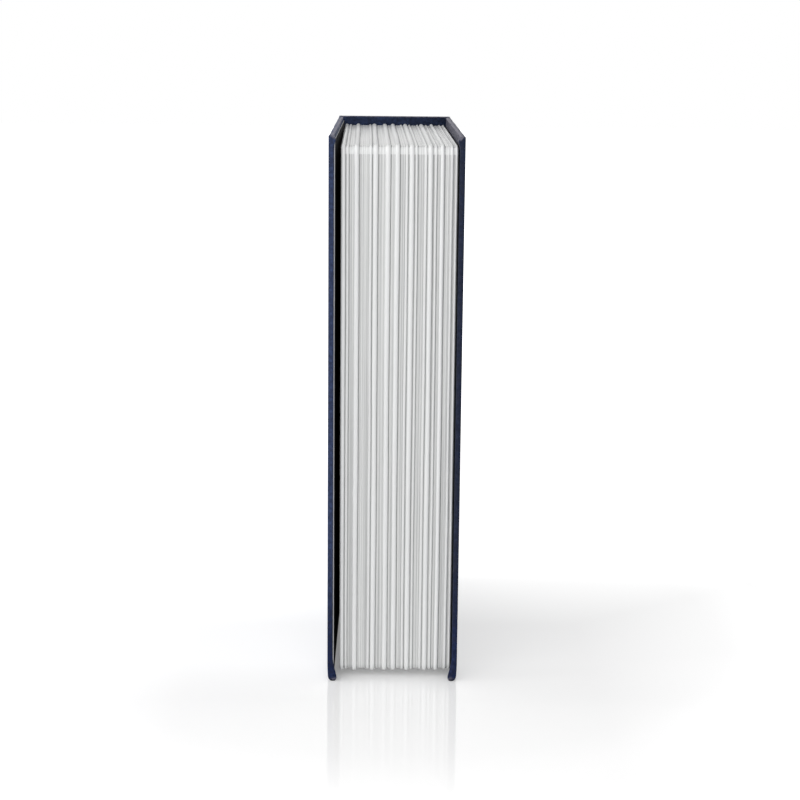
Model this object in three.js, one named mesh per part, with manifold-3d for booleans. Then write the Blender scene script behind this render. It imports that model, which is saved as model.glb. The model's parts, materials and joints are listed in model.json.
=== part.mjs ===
// Book diversion safe: a cloth-covered case round a moulded imitation page block that holds a
// lockable sheet-steel box. Millimetres, +Z up. The book stands on its tail edges: X runs
// through its thickness (front cover at -X), Y through its depth (fore-edge at -Y, spine at +Y).
import * as THREE from 'three';
import { mergeVertices } from 'three/addons/utils/BufferGeometryUtils.js';
import Module from 'manifold-3d';

const wasm = await Module();
wasm.setup();

// The closed book
const coverHeight = 240;
const coverDepth = 155;
const bookThickness = 55;
const splayAngle = THREE.MathUtils.degToRad(1.1);

// Cover: leatherette glued round a greyboard, with an endpaper over its turned-in edges
const clothSheet = 0.3;
const boardSheet = 1.5;
const endpaperSheet = 0.36;
const glueLine = 0.08;
const turnIn = 15;
const endpaperInset = 2;
const endpaperCorner = 6;
const cornerFold = 3.4;
const cornerFoldRise = 0.9;
const jointWidth = 8;
const jointDip = 1.5;
const spineCorner = 1;
const hingeGap = 0.3;

// Imitation page block
const headSquare = 3.8;
const foreSquare = 4;
const tailSquare = 2.6;
const coverClearance = 0.2;
const spineClearance = 0.3;
const pageWall = 2.6;
const blockCorner = 3.6;
const broadRibWidth = 2;
const broadRibRise = 0.8;
const fineRibWidth = 1.1;
const fineRibRise = 0.45;
const grooveWidth = 0.35;
const grooveDepth = 0.2;
const broadRibShares = [0.02, 0.134, 0.296, 0.402, 0.481, 0.604, 0.766, 0.868];
const fineRibShares = [0.056, 0.255, 0.561, 0.646, 0.724, 0.812, 0.948, 0.986];
const rimSheet = 2;
const collarSheet = 1.2;
const collarDepth = 7;
const collarClearance = 0.5;
const backFlangeSheet = 2;
const backFlangeWidth = 5;
const webSheet = 1.2;
const webClearance = 0.4;
const foreWebs = 5;
const endWebs = 3;

// Steel box
const boxStandOff = 6;
const hingeBay = 7.3;
const boxSheet = 1;
const boxCorner = 3;
const ledgeWidth = 6;
const mouthRecess = 3.4;

// Lid
const lidSheet = 1.2;
const lidSeatGap = 0.1;
const lidMargin = 0.6;
const lidCorner = 2.4;
const skirtSheet = 1;
const skirtDepth = 6;
const skirtClearance = 0.6;

// Hinge between the box and its lid
const pinRadius = 0.9;
const pinClearance = 0.3;
const knuckleRadius = 2;
const leafSheet = 0.8;
const leafSeatGap = 0.1;
const hingeLength = 150;
const knuckleCount = 5;
const knuckleGap = 0.3;
const barrelClearance = 0.4;
const pinAboveMouth = 1;
const pinHeadRise = 0.6;
const boxLeafWidth = 11;
const lidLeafWidth = 14;

// Rivets
const rivetRadius = 1.2;
const rivetHoleClearance = 0.3;
const rivetHeadRadius = 2.2;
const rivetHeadRise = 0.7;
const rivetTailRise = 0.6;
const rivetSeatGap = 0.05;
const leafRivets = 4;
const leafRivetEnd = 12;
const boxRivetEdge = 22;

// Cam lock
const lockFromSkirt = 15;
const lockFlangeRadius = 9.5;
const lockFlangeRise = 1.4;
const lockBodyRadius = 7.8;
const lockFlatReach = 6.7;
const lockBodyLength = 16;
const lockHoleClearance = 0.3;
const plugRadius = 5;
const plugClearance = 0.3;
const plugHeadRadius = 6.2;
const plugHeadDepth = 1;
const keywayWidth = 1.3;
const keywayHeight = 6;
const keywayDepth = 11;
const shankSize = 5;
const shankLength = 2.1;
const washerSheet = 0.6;
const washerRadius = 10.5;
const nutAcrossFlats = 20;
const nutSheet = 3;
const camSheet = 1.5;
const camWidth = 11;
const camReach = 19;
const camScrewRadius = 1.7;
const camScrewHeadRadius = 3.6;
const camScrewHeadRise = 1.8;
const camScrewLength = 6;
const keeperSheet = 1.2;
const keeperHeight = 26;
const keeperReach = 9;
const keeperLegLength = 10;
const keeperFromCam = 1.6;

// Facets, tolerance and the overrun that every cut takes past a face
const weldTolerance = 0.0001;
const overrun = 1;
const filletLimitShare = 0.45;
const cornerSteps = 6;
const ribSteps = 5;
const roundSteps = 32;
const pinSteps = 20;
const smallSteps = 12;
const jointSteps = 12;

// Places that follow from the sizes above
const coverBuild = 2 * clothSheet + 3 * glueLine + boardSheet + endpaperSheet;
const outerX = bookThickness / 2;
const pastedownX = outerX - coverBuild;
const turnInX = pastedownX + endpaperSheet + glueLine;
const boardInnerX = turnInX + clothSheet + glueLine;
const boardOuterX = boardInnerX + boardSheet;
const foreY = -coverDepth / 2;
const spineY = coverDepth / 2;
const spineBuild = 2 * clothSheet + 2 * glueLine + boardSheet;
const jointEndY = spineY - spineBuild;
const jointStartY = jointEndY - jointWidth;
const spineFrontX = -outerX + clothSheet + hingeGap;
const coverAxis = new THREE.Vector2(-outerX - hingeGap / 2, spineY + hingeGap / 2);

const blockFrontX = -pastedownX + coverClearance;
const blockBackX = pastedownX - glueLine;
const blockForeY = foreY + foreSquare + broadRibRise;
const blockSpineY = jointEndY - spineClearance;
const blockHeadZ = coverHeight - headSquare - broadRibRise;
const blockTailZ = tailSquare + broadRibRise;

const boxForeY = blockForeY + pageWall + boxStandOff;
const boxSpineY = blockSpineY - pageWall - hingeBay;
const boxHeadZ = blockHeadZ - pageWall - boxStandOff;
const boxTailZ = blockTailZ + pageWall + boxStandOff;
const boxMiddleZ = (boxHeadZ + boxTailZ) / 2;
const mouthX = blockFrontX + mouthRecess;
const boxFloorX = blockBackX - boxSheet;

const lidInnerX = mouthX - lidSeatGap;
const lidOuterX = lidInnerX - lidSheet;
const pinX = mouthX - pinAboveMouth;
const pinY = boxSpineY + leafSeatGap + knuckleRadius;
const lidSpineY = pinY - knuckleRadius - barrelClearance - lidSeatGap;
const skirtForeY = boxForeY + ledgeWidth + skirtClearance;
const lockY = skirtForeY + lockFromSkirt;
const lockFrontX = lidOuterX - glueLine - lockFlangeRise;
const lockBackX = lidOuterX + lockBodyLength;
const camX = lockBackX + glueLine;
const keeperX = camX - keeperFromCam - keeperSheet;

const leatherette = finish('#26355a', 0.55, 0);
const greyboard = finish('#8a8378', 0.9, 0);
const endpaper = finish('#17181c', 0.8, 0);
const pagePlastic = finish('#dcdedd', 0.25, 0);
const boxPaint = finish('#1b1c1f', 0.45, 0.2);
const hingeSteel = finish('#8f9296', 0.35, 0.9);
const lockChrome = finish('#c4c7cb', 0.15, 1);

function finish(color, roughness, metalness) {
  return new THREE.MeshStandardMaterial({ color, roughness, metalness });
}

// Joining and cutting

function toSolid(geometry) {
  const plain = geometry.clone();
  plain.deleteAttribute('normal');
  plain.deleteAttribute('uv');
  const merged = mergeVertices(plain, weldTolerance);
  const vertProperties = new Float32Array(merged.attributes.position.array);
  const corners = merged.index.array;
  const kept = [];
  for (let start = 0; start < corners.length; start += 3) {
    const [a, b, c] = corners.slice(start, start + 3);
    if (a !== b && b !== c && c !== a) kept.push(a, b, c);
  }
  const triVerts = new Uint32Array(kept);
  return new wasm.Manifold(new wasm.Mesh({ numProp: 3, vertProperties, triVerts }));
}

function toGeometry(solid) {
  const { vertProperties, triVerts } = solid.getMesh();
  const geometry = new THREE.BufferGeometry();
  geometry.setAttribute('position', new THREE.BufferAttribute(vertProperties, 3));
  geometry.setIndex(new THREE.BufferAttribute(triVerts, 1));
  geometry.computeVertexNormals();
  return geometry;
}

function piece(name, solid, material) {
  const mesh = new THREE.Mesh(toGeometry(solid), material);
  mesh.name = name;
  return mesh;
}

function join(solids) {
  return solids.reduce((whole, next) => whole.add(next));
}

function cut(solid, tools) {
  return tools.reduce((rest, tool) => rest.subtract(tool), solid);
}

// Basic forms, each placed by its lowest and highest coordinates

function slab([x0, x1], [y0, y1], [z0, z1]) {
  const geometry = new THREE.BoxGeometry(x1 - x0, y1 - y0, z1 - z0);
  geometry.translate((x0 + x1) / 2, (y0 + y1) / 2, (z0 + z1) / 2);
  return toSolid(geometry);
}

function extrudeUp(shape, [z0, z1]) {
  const options = { depth: z1 - z0, bevelEnabled: false, curveSegments: cornerSteps };
  const geometry = new THREE.ExtrudeGeometry(shape, options);
  geometry.translate(0, 0, z0);
  return toSolid(geometry);
}

// The shape is drawn with its x along Y and its y along Z
function extrudeAcross(shape, [x0, x1]) {
  const options = { depth: x1 - x0, bevelEnabled: false, curveSegments: cornerSteps };
  const geometry = new THREE.ExtrudeGeometry(shape, options);
  const alongY = new THREE.Vector3(0, 1, 0);
  const alongZ = new THREE.Vector3(0, 0, 1);
  const alongX = new THREE.Vector3(1, 0, 0);
  geometry.applyMatrix4(new THREE.Matrix4().makeBasis(alongY, alongZ, alongX));
  geometry.translate(x0, 0, 0);
  return toSolid(geometry);
}

function roundedShape([u0, u1], [v0, v1], wantedRadius) {
  const radius = Math.min(wantedRadius, filletLimitShare * Math.min(u1 - u0, v1 - v0));
  const shape = new THREE.Shape();
  shape.absarc(u1 - radius, v1 - radius, radius, 0, Math.PI / 2);
  shape.absarc(u0 + radius, v1 - radius, radius, Math.PI / 2, Math.PI);
  shape.absarc(u0 + radius, v0 + radius, radius, Math.PI, 1.5 * Math.PI);
  shape.absarc(u1 - radius, v0 + radius, radius, 1.5 * Math.PI, 2 * Math.PI);
  return shape;
}

// A turned form: its profile is a list of [radius, place along the axis]
function turnedAlongX(profile, y, z, steps = roundSteps) {
  const points = profile.map(([radius, along]) => new THREE.Vector2(radius, along));
  const geometry = new THREE.LatheGeometry(points, steps);
  geometry.rotateZ(-Math.PI / 2);
  geometry.translate(0, y, z);
  return toSolid(geometry);
}

function rodAlongX(radius, [x0, x1], y, z, steps = roundSteps) {
  return turnedAlongX([[0, x0], [radius, x0], [radius, x1], [0, x1]], y, z, steps);
}

function rodAlongY(radius, [y0, y1], x, z) {
  const geometry = new THREE.CylinderGeometry(radius, radius, y1 - y0, smallSteps);
  geometry.translate(x, (y0 + y1) / 2, z);
  return toSolid(geometry);
}

function rodAlongZ(radius, [z0, z1], x, y) {
  const geometry = new THREE.CylinderGeometry(radius, radius, z1 - z0, pinSteps);
  geometry.rotateX(Math.PI / 2);
  geometry.translate(x, y, (z0 + z1) / 2);
  return toSolid(geometry);
}

// Covers. side is 1 for the back cover and -1 for the front cover

function acrossCover(side, x0, x1) {
  return side > 0 ? [x0, x1] : [-x1, -x0];
}

function coverBoard(side) {
  const margin = clothSheet + glueLine;
  const x = acrossCover(side, boardInnerX, boardOuterX);
  return slab(x, [foreY + margin, jointStartY], [margin, coverHeight - margin]);
}

function endpaperShape(inset) {
  const shape = new THREE.Shape();
  const low = foreY + inset;
  const radius = endpaperCorner;
  shape.moveTo(jointStartY, inset);
  shape.lineTo(jointStartY, coverHeight - inset);
  shape.absarc(low + radius, coverHeight - inset - radius, radius, Math.PI / 2, Math.PI);
  shape.absarc(low + radius, inset + radius, radius, Math.PI, 1.5 * Math.PI);
  return shape;
}

// The endpaper is thicker inside the turned-in edges, where a filler card makes up their height
function coverEndpaper(side) {
  const sheetX = acrossCover(side, pastedownX, pastedownX + endpaperSheet);
  const fillerX = acrossCover(side, pastedownX + endpaperSheet / 2, boardInnerX - glueLine);
  const sheet = extrudeAcross(endpaperShape(endpaperInset), sheetX);
  const edge = turnIn + glueLine;
  const filler = slab(fillerX, [foreY + edge, jointStartY], [edge, coverHeight - edge]);
  return sheet.add(filler);
}

// The folded corner of the covering stands proud of the inner face, head and tail
function coverFold(side, headward) {
  const corner = headward ? coverHeight : 0;
  const toward = headward ? -cornerFold : cornerFold;
  const shape = new THREE.Shape();
  shape.moveTo(foreY, corner);
  shape.lineTo(foreY + cornerFold, corner);
  shape.quadraticCurveTo(foreY + cornerFold, corner + toward, foreY, corner + toward);
  return extrudeAcross(shape, acrossCover(side, turnInX - cornerFoldRise, turnInX + clothSheet));
}

// The covering of one board: outer sheet, wrapped edges and turned-in margins
function coverSkin(side) {
  const full = slab(
    acrossCover(side, turnInX, outerX), [foreY, jointStartY], [0, coverHeight],
  );
  const pocket = slab(
    acrossCover(side, turnInX + clothSheet, outerX - clothSheet),
    [foreY + clothSheet, jointStartY + overrun],
    [clothSheet, coverHeight - clothSheet],
  );
  const window = slab(
    acrossCover(side, turnInX - overrun, turnInX + clothSheet + glueLine),
    [foreY + turnIn, jointStartY + overrun],
    [turnIn, coverHeight - turnIn],
  );
  const folds = [coverFold(side, true), coverFold(side, false)];
  return join([cut(full, [pocket, window]), ...folds]);
}

// The joint between a board and the spine: one sheet that dips in a groove
function jointSkin(side, endY) {
  const outline = [];
  for (let step = 0; step <= jointSteps; step += 1) {
    const share = step / jointSteps;
    const dip = jointDip * (1 - Math.cos(2 * Math.PI * share)) / 2;
    outline.push([outerX - dip, jointStartY + share * jointWidth]);
  }
  outline.unshift([outerX, jointStartY - boardSheet]);
  outline.push([outerX, endY]);
  const inner = outline.map(([x, y]) => [x - clothSheet, y]).reverse();
  const points = [...outline, ...inner].map(([x, y]) => new THREE.Vector2(side * x, y));
  return extrudeUp(new THREE.Shape(points), [0, coverHeight]);
}

// Spine

function spineShape(inset) {
  const x = [spineFrontX + inset, outerX - inset];
  return roundedShape(x, [jointEndY + inset, spineY - inset], spineCorner - inset);
}

function spineSkin() {
  const full = extrudeUp(spineShape(0), [0, coverHeight]);
  const pocket = extrudeUp(spineShape(clothSheet), [clothSheet, coverHeight - clothSheet]);
  const window = slab(
    [spineFrontX + spineCorner, outerX - spineCorner],
    [jointEndY - overrun, jointEndY + clothSheet + glueLine],
    [turnIn, coverHeight - turnIn],
  );
  return cut(full, [pocket, window]);
}

function spineBoard() {
  const inset = clothSheet + glueLine;
  return extrudeUp(spineShape(inset), [inset, coverHeight - inset]);
}

// Rivets and screws

// A domed head at headX, its shank and a set tail, along X away from the head
function rivetAlongX(headX, tailX, y, z) {
  const headward = Math.sign(headX - tailX);
  const crown = headX + headward * rivetHeadRise;
  const mid = headX + headward * rivetHeadRise / 2;
  const lip = tailX - headward * rivetTailRise;
  const setRadius = rivetRadius + rivetHeadRise / 2;
  const profile = [
    [0, crown], [rivetHeadRadius / 2, crown], [rivetHeadRadius, mid], [rivetHeadRadius, headX],
    [rivetRadius, headX], [rivetRadius, tailX], [setRadius, tailX], [setRadius, lip], [0, lip],
  ];
  if (headward > 0) profile.reverse();
  return turnedAlongX(profile, y, z, smallSteps);
}

function rivetAlongY(headY, tailY, x, z) {
  const crown = headY + rivetHeadRise;
  const lip = tailY - rivetTailRise;
  const setRadius = rivetRadius + rivetHeadRise / 2;
  const profile = [
    [0, lip], [setRadius, lip], [setRadius, tailY], [rivetRadius, tailY], [rivetRadius, headY],
    [rivetHeadRadius, headY], [rivetHeadRadius, (headY + crown) / 2], [rivetHeadRadius / 2, crown],
    [0, crown],
  ];
  const points = profile.map(([radius, along]) => new THREE.Vector2(radius, along));
  const geometry = new THREE.LatheGeometry(points, smallSteps);
  geometry.translate(x, 0, z);
  return toSolid(geometry);
}

const boxRivetPlaces = [boxForeY + boxRivetEdge, boxSpineY - boxRivetEdge].flatMap(
  (y) => [boxTailZ + boxRivetEdge, boxHeadZ - boxRivetEdge].map((z) => [y, z]),
);

function boxRivetHoles() {
  const radius = rivetRadius + rivetHoleClearance;
  const through = [boxFloorX - overrun, outerX - clothSheet];
  return boxRivetPlaces.map(([y, z]) => rodAlongX(radius, through, y, z, smallSteps));
}

// Each rivet is set in a shallow seat in the outer face of the back board, under the covering
function boxRivetSeats() {
  const seat = [boardOuterX - rivetTailRise - rivetSeatGap, outerX - clothSheet];
  return boxRivetPlaces.map(([y, z]) => rodAlongX(rivetHeadRadius, seat, y, z, smallSteps));
}

const hingeTailZ = boxMiddleZ - hingeLength / 2;
const leafRivetHeights = Array.from({ length: leafRivets }, (_, index) => (
  hingeTailZ + leafRivetEnd + index * (hingeLength - 2 * leafRivetEnd) / (leafRivets - 1)
));
const boxLeafRivetX = pinX + boxLeafWidth - 2 * rivetHeadRadius / 2 - leafSheet;
const lidLeafRivetY = boxSpineY - ledgeWidth - rivetHeadRadius - skirtClearance;

// Imitation page block

const blockWidth = blockBackX - blockFrontX;
const ribs = [
  ...broadRibShares.map((share) => ({ share, width: broadRibWidth, rise: broadRibRise })),
  ...fineRibShares.map((share) => ({ share, width: fineRibWidth, rise: fineRibRise })),
];

// Height of the ribbed surface over its base at x: half-round ribs, each with a groove beside it
function surfaceRise(x) {
  let highest = 0;
  let lowest = 0;
  for (const { share, width, rise } of ribs) {
    const offset = (x - blockFrontX - share * blockWidth) / (width / 2);
    if (Math.abs(offset) < 1) highest = Math.max(highest, rise * Math.sqrt(1 - offset * offset));
    const past = x - blockFrontX - share * blockWidth - width / 2 - grooveWidth / 2;
    const depth = grooveDepth * (1 - Math.abs(past) / (grooveWidth / 2));
    lowest = Math.max(lowest, depth);
  }
  return highest > 0 ? highest : -lowest;
}

function ribMarks() {
  const marks = [blockFrontX, blockBackX];
  for (const { share, width } of ribs) {
    const centre = blockFrontX + share * blockWidth;
    for (let step = 0; step <= ribSteps; step += 1) {
      marks.push(centre - Math.cos(Math.PI * step / ribSteps) * width / 2);
    }
    marks.push(centre + width / 2 + grooveWidth / 2, centre + width / 2 + grooveWidth);
  }
  marks.sort((a, b) => a - b);
  const inside = marks.filter((mark) => mark >= blockFrontX && mark <= blockBackX);
  return inside.filter((mark, index) => index === 0 || mark - inside[index - 1] > grooveWidth / 8);
}

// Places along the head, round the fore-edge and back along the tail, each with its outward way
function pagePath() {
  const way = (angle) => [Math.cos(angle), Math.sin(angle)];
  const low = blockForeY + blockCorner;
  const path = [{ y: blockSpineY, z: blockHeadZ, out: [0, 1] }];
  const bends = [
    { z: blockHeadZ - blockCorner, start: Math.PI / 2 },
    { z: blockTailZ + blockCorner, start: Math.PI },
  ];
  for (const bend of bends) {
    for (let step = 0; step <= cornerSteps; step += 1) {
      const out = way(bend.start + Math.PI / 2 * step / cornerSteps);
      path.push({ y: low + blockCorner * out[0], z: bend.z + blockCorner * out[1], out });
    }
  }
  path.push({ y: blockSpineY, z: blockTailZ, out: [0, -1] });
  return path;
}

// The outer wall is one section, ribs outside and flat inside, carried round the path
function ribbedWall() {
  const outer = ribMarks().map((x) => new THREE.Vector2(x, surfaceRise(x))).reverse();
  const inner = [new THREE.Vector2(blockFrontX, -pageWall), new THREE.Vector2(blockBackX, -pageWall)];
  const section = [...inner, ...outer];
  const path = pagePath();
  const count = section.length;
  const positions = path.flatMap(({ y, z, out }) => section.flatMap(
    (point) => [point.x, y + out[0] * point.y, z + out[1] * point.y],
  ));
  const faces = [];
  for (let ring = 0; ring < path.length - 1; ring += 1) {
    for (let index = 0; index < count; index += 1) {
      const a = ring * count + index;
      const b = ring * count + (index + 1) % count;
      faces.push(a, b, b + count, a, b + count, a + count);
    }
  }
  const last = (path.length - 1) * count;
  for (const [a, b, c] of THREE.ShapeUtils.triangulateShape(section, [])) {
    faces.push(a, c, b, last + a, last + b, last + c);
  }
  const geometry = new THREE.BufferGeometry();
  geometry.setAttribute('position', new THREE.Float32BufferAttribute(positions, 3));
  geometry.setIndex(faces);
  return toSolid(geometry);
}

// Outline of the block's base surface in Y and Z, drawn in by inset
function blockShape(inset) {
  const shape = new THREE.Shape();
  const radius = blockCorner - inset;
  const low = blockForeY + inset;
  const head = blockHeadZ - inset;
  const tail = blockTailZ + inset;
  shape.moveTo(blockSpineY - inset, tail);
  shape.lineTo(blockSpineY - inset, head);
  shape.absarc(low + radius, head - radius, radius, Math.PI / 2, Math.PI);
  shape.absarc(low + radius, tail + radius, radius, Math.PI, 1.5 * Math.PI);
  return shape;
}

function openingShape(margin) {
  const grow = collarClearance + margin;
  return roundedShape(
    [boxForeY - grow, pinY + knuckleRadius + grow],
    [boxTailZ - grow, boxHeadZ + grow],
    boxCorner + grow,
  );
}

// Thin webs stiffen the wall between the rim and the back flange
function blockWebs() {
  const x = [blockFrontX + rimSheet / 2, blockBackX - backFlangeSheet / 2];
  const half = webSheet / 2;
  const spread = (low, high, count) => Array.from(
    { length: count }, (_, index) => low + (high - low) * (index + 1) / (count + 1),
  );
  const skin = pageWall / 2;
  const foreward = spread(boxTailZ, boxHeadZ, foreWebs).map((z) => slab(
    x, [blockForeY + skin, boxForeY - webClearance], [z - half, z + half],
  ));
  const ends = spread(boxForeY, boxSpineY, endWebs).flatMap((y) => [
    slab(x, [y - half, y + half], [blockTailZ + skin, boxTailZ - webClearance]),
    slab(x, [y - half, y + half], [boxHeadZ + webClearance, blockHeadZ - skin]),
  ]);
  return [...foreward, ...ends];
}

function pageBlock() {
  const joinDepth = pageWall / 2;
  const opening = extrudeAcross(openingShape(0), [blockFrontX - overrun, blockBackX]);
  const rim = extrudeAcross(blockShape(joinDepth), [blockFrontX, blockFrontX + rimSheet]);
  const collar = extrudeAcross(
    openingShape(collarSheet), [blockFrontX, blockFrontX + collarDepth],
  );
  const backFlange = cut(
    extrudeAcross(blockShape(joinDepth), [blockBackX - backFlangeSheet, blockBackX]),
    [slab(
      [blockBackX - backFlangeSheet - overrun, blockBackX + overrun],
      [blockForeY + pageWall + backFlangeWidth, blockSpineY - pageWall - backFlangeWidth],
      [blockTailZ + pageWall + backFlangeWidth, blockHeadZ - pageWall - backFlangeWidth],
    )],
  );
  const spineWall = slab(
    [blockFrontX, blockBackX], [blockSpineY - pageWall, blockSpineY],
    [blockTailZ + joinDepth, blockHeadZ - joinDepth],
  );
  const front = cut(rim.add(collar), [opening]);
  return join([ribbedWall(), front, backFlange, spineWall, ...blockWebs()]);
}

// Steel box: a deep tray with an inward ledge round its mouth

function boxBody() {
  const shape = (inset) => roundedShape(
    [boxForeY + inset, boxSpineY - inset], [boxTailZ + inset, boxHeadZ - inset],
    Math.max(boxCorner - inset, boxSheet),
  );
  const outside = extrudeAcross(shape(0), [mouthX, blockBackX]);
  const inside = extrudeAcross(shape(boxSheet), [mouthX + boxSheet, boxFloorX]);
  const mouth = extrudeAcross(shape(ledgeWidth), [mouthX - overrun, mouthX + 2 * boxSheet]);
  const wallHoles = leafRivetHeights.map((z) => rodAlongY(
    rivetRadius + rivetHoleClearance,
    [boxSpineY - boxSheet - overrun, boxSpineY + overrun],
    boxLeafRivetX, z,
  ));
  return cut(outside, [inside, mouth, ...boxRivetHoles(), ...wallHoles]);
}

// An angle welded inside the fore-edge wall, for the cam to catch behind
function latchKeeper() {
  const wallY = boxForeY + boxSheet + rivetSeatGap;
  const z = [boxMiddleZ - keeperHeight / 2, boxMiddleZ + keeperHeight / 2];
  const leg = slab([keeperX - keeperLegLength, keeperX + keeperSheet], [wallY, wallY + keeperSheet], z);
  const catchTab = slab([keeperX, keeperX + keeperSheet], [wallY, wallY + keeperReach], z);
  return leg.add(catchTab);
}

// Hinge between the box and the lid

const knuckleLength = hingeLength / knuckleCount;

function knuckleSpan(index) {
  const low = hingeTailZ + index * knuckleLength;
  return [low + knuckleGap / 2, low + knuckleLength - knuckleGap / 2];
}

// own is 0 for the leaf that has the end knuckles and 1 for the leaf between them
function hingeLeaf(plate, reachToPin, own) {
  const solids = [plate];
  for (let index = own; index < knuckleCount; index += 2) {
    solids.push(reachToPin(knuckleSpan(index)));
    solids.push(rodAlongZ(knuckleRadius, knuckleSpan(index), pinX, pinY));
  }
  const bore = rodAlongZ(
    pinRadius + pinClearance,
    [hingeTailZ - overrun, hingeTailZ + hingeLength + overrun], pinX, pinY,
  );
  return cut(join(solids), [bore]);
}

function boxHingeLeaf() {
  const y = [boxSpineY + leafSeatGap, boxSpineY + leafSeatGap + leafSheet];
  const clearX = pinX + knuckleRadius + barrelClearance;
  const farX = pinX + boxLeafWidth;
  const plate = slab([clearX, farX], y, [hingeTailZ, hingeTailZ + hingeLength]);
  const leaf = hingeLeaf(plate, (z) => slab([pinX, clearX + leafSheet], y, z), 0);
  return cut(leaf, leafRivetHeights.map((z) => rodAlongY(
    rivetRadius + rivetHoleClearance, [y[0] - overrun, y[1] + overrun], boxLeafRivetX, z,
  )));
}

function lidHingeLeaf() {
  const x = [lidOuterX - glueLine - leafSheet, lidOuterX - glueLine];
  const clearY = pinY - knuckleRadius - barrelClearance;
  const plate = slab(x, [clearY - lidLeafWidth, clearY], [hingeTailZ, hingeTailZ + hingeLength]);
  const leaf = hingeLeaf(plate, (z) => slab(x, [clearY - leafSheet, pinY], z), 1);
  return cut(leaf, lidRivetHoles());
}

function lidRivetHoles() {
  const through = [lidOuterX - leafSheet - overrun, lidInnerX + overrun];
  return leafRivetHeights.map((z) => rodAlongX(
    rivetRadius + rivetHoleClearance, through, lidLeafRivetY, z, smallSteps,
  ));
}

function hingePin() {
  const shank = [hingeTailZ, hingeTailZ + hingeLength];
  const low = rodAlongZ(knuckleRadius, [shank[0] - pinHeadRise, shank[0]], pinX, pinY);
  const high = rodAlongZ(knuckleRadius, [shank[1], shank[1] + pinHeadRise], pinX, pinY);
  return join([low, rodAlongZ(pinRadius, shank, pinX, pinY), high]);
}

// Lid: a flat panel with a folded skirt on its three free sides

function boxLid() {
  const panelY = [boxForeY + lidMargin, lidSpineY];
  const panelZ = [boxTailZ + lidMargin, boxHeadZ - lidMargin];
  const panel = extrudeAcross(roundedShape(panelY, panelZ, lidCorner), [lidOuterX, lidInnerX]);
  const inset = ledgeWidth + skirtClearance;
  const skirtY = [skirtForeY, boxSpineY - inset];
  const skirtZ = [boxTailZ + inset, boxHeadZ - inset];
  const skirtX = [lidInnerX - lidSheet / 2, lidInnerX + skirtDepth];
  const ring = cut(slab(skirtX, skirtY, skirtZ), [slab(
    [lidInnerX, lidInnerX + skirtDepth + overrun],
    [skirtY[0] + skirtSheet, skirtY[1] + overrun],
    [skirtZ[0] + skirtSheet, skirtZ[1] - skirtSheet],
  )]);
  const lockHole = lockSection(lockHoleClearance, [lidOuterX - overrun, lidInnerX + overrun]);
  return cut(panel.add(ring), [lockHole, ...lidRivetHoles()]);
}

// Lock

// The lock body's round section with two flats, grown by margin
function lockSection(margin, x) {
  const round = rodAlongX(lockBodyRadius + margin, x, lockY, boxMiddleZ);
  const reach = lockFlatReach + margin;
  const flats = slab(
    x, [lockY - lockBodyRadius - overrun, lockY + lockBodyRadius + overrun],
    [boxMiddleZ - reach, boxMiddleZ + reach],
  );
  return round.intersect(flats);
}

function lockHousing() {
  const flangeBack = lidOuterX - glueLine;
  const flange = turnedAlongX([
    [0, lockFrontX], [lockFlangeRadius - lockFlangeRise / 2, lockFrontX],
    [lockFlangeRadius, lockFrontX + lockFlangeRise / 2], [lockFlangeRadius, flangeBack],
    [0, flangeBack],
  ], lockY, boxMiddleZ);
  const body = lockSection(0, [flangeBack - lockFlangeRise / 2, lockBackX]);
  const bore = rodAlongX(
    plugRadius + plugClearance, [lockFrontX - overrun, lockBackX + overrun], lockY, boxMiddleZ,
  );
  const headSeat = rodAlongX(
    plugHeadRadius + plugClearance,
    [lockFrontX - overrun, lockFrontX + plugHeadDepth + plugClearance], lockY, boxMiddleZ,
  );
  return cut(flange.add(body), [bore, headSeat]);
}

function lockPlug() {
  const barrel = rodAlongX(plugRadius, [lockFrontX + plugHeadDepth / 2, lockBackX], lockY, boxMiddleZ);
  const head = rodAlongX(
    plugHeadRadius, [lockFrontX, lockFrontX + plugHeadDepth], lockY, boxMiddleZ,
  );
  const half = shankSize / 2;
  const shank = slab(
    [lockBackX - plugHeadDepth, lockBackX + shankLength],
    [lockY - half, lockY + half], [boxMiddleZ - half, boxMiddleZ + half],
  );
  const keyway = slab(
    [lockFrontX - overrun, lockFrontX + keywayDepth],
    [lockY - keywayWidth / 2, lockY + keywayWidth / 2],
    [boxMiddleZ - keywayHeight / 2, boxMiddleZ + keywayHeight / 2],
  );
  const screwHole = rodAlongX(
    camScrewRadius + plugClearance / 2,
    [lockBackX + shankLength - camScrewLength, lockBackX + shankLength + overrun],
    lockY, boxMiddleZ,
  );
  return cut(join([barrel, head, shank]), [keyway, screwHole]);
}

function lockWasher() {
  const x = [lidInnerX + glueLine, lidInnerX + glueLine + washerSheet];
  const hole = rodAlongX(
    lockBodyRadius + lockHoleClearance, [x[0] - overrun, x[1] + overrun], lockY, boxMiddleZ,
  );
  return cut(rodAlongX(washerRadius, x, lockY, boxMiddleZ), [hole]);
}

function lockNut() {
  const start = lidInnerX + 2 * glueLine + washerSheet;
  const radius = nutAcrossFlats / Math.sqrt(3);
  const geometry = new THREE.CylinderGeometry(radius, radius, nutSheet, 6);
  geometry.rotateZ(-Math.PI / 2);
  geometry.translate(start + nutSheet / 2, lockY, boxMiddleZ);
  const hole = rodAlongX(
    lockBodyRadius + lockHoleClearance, [start - overrun, start + nutSheet + overrun],
    lockY, boxMiddleZ,
  );
  return cut(toSolid(geometry), [hole]);
}

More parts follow.
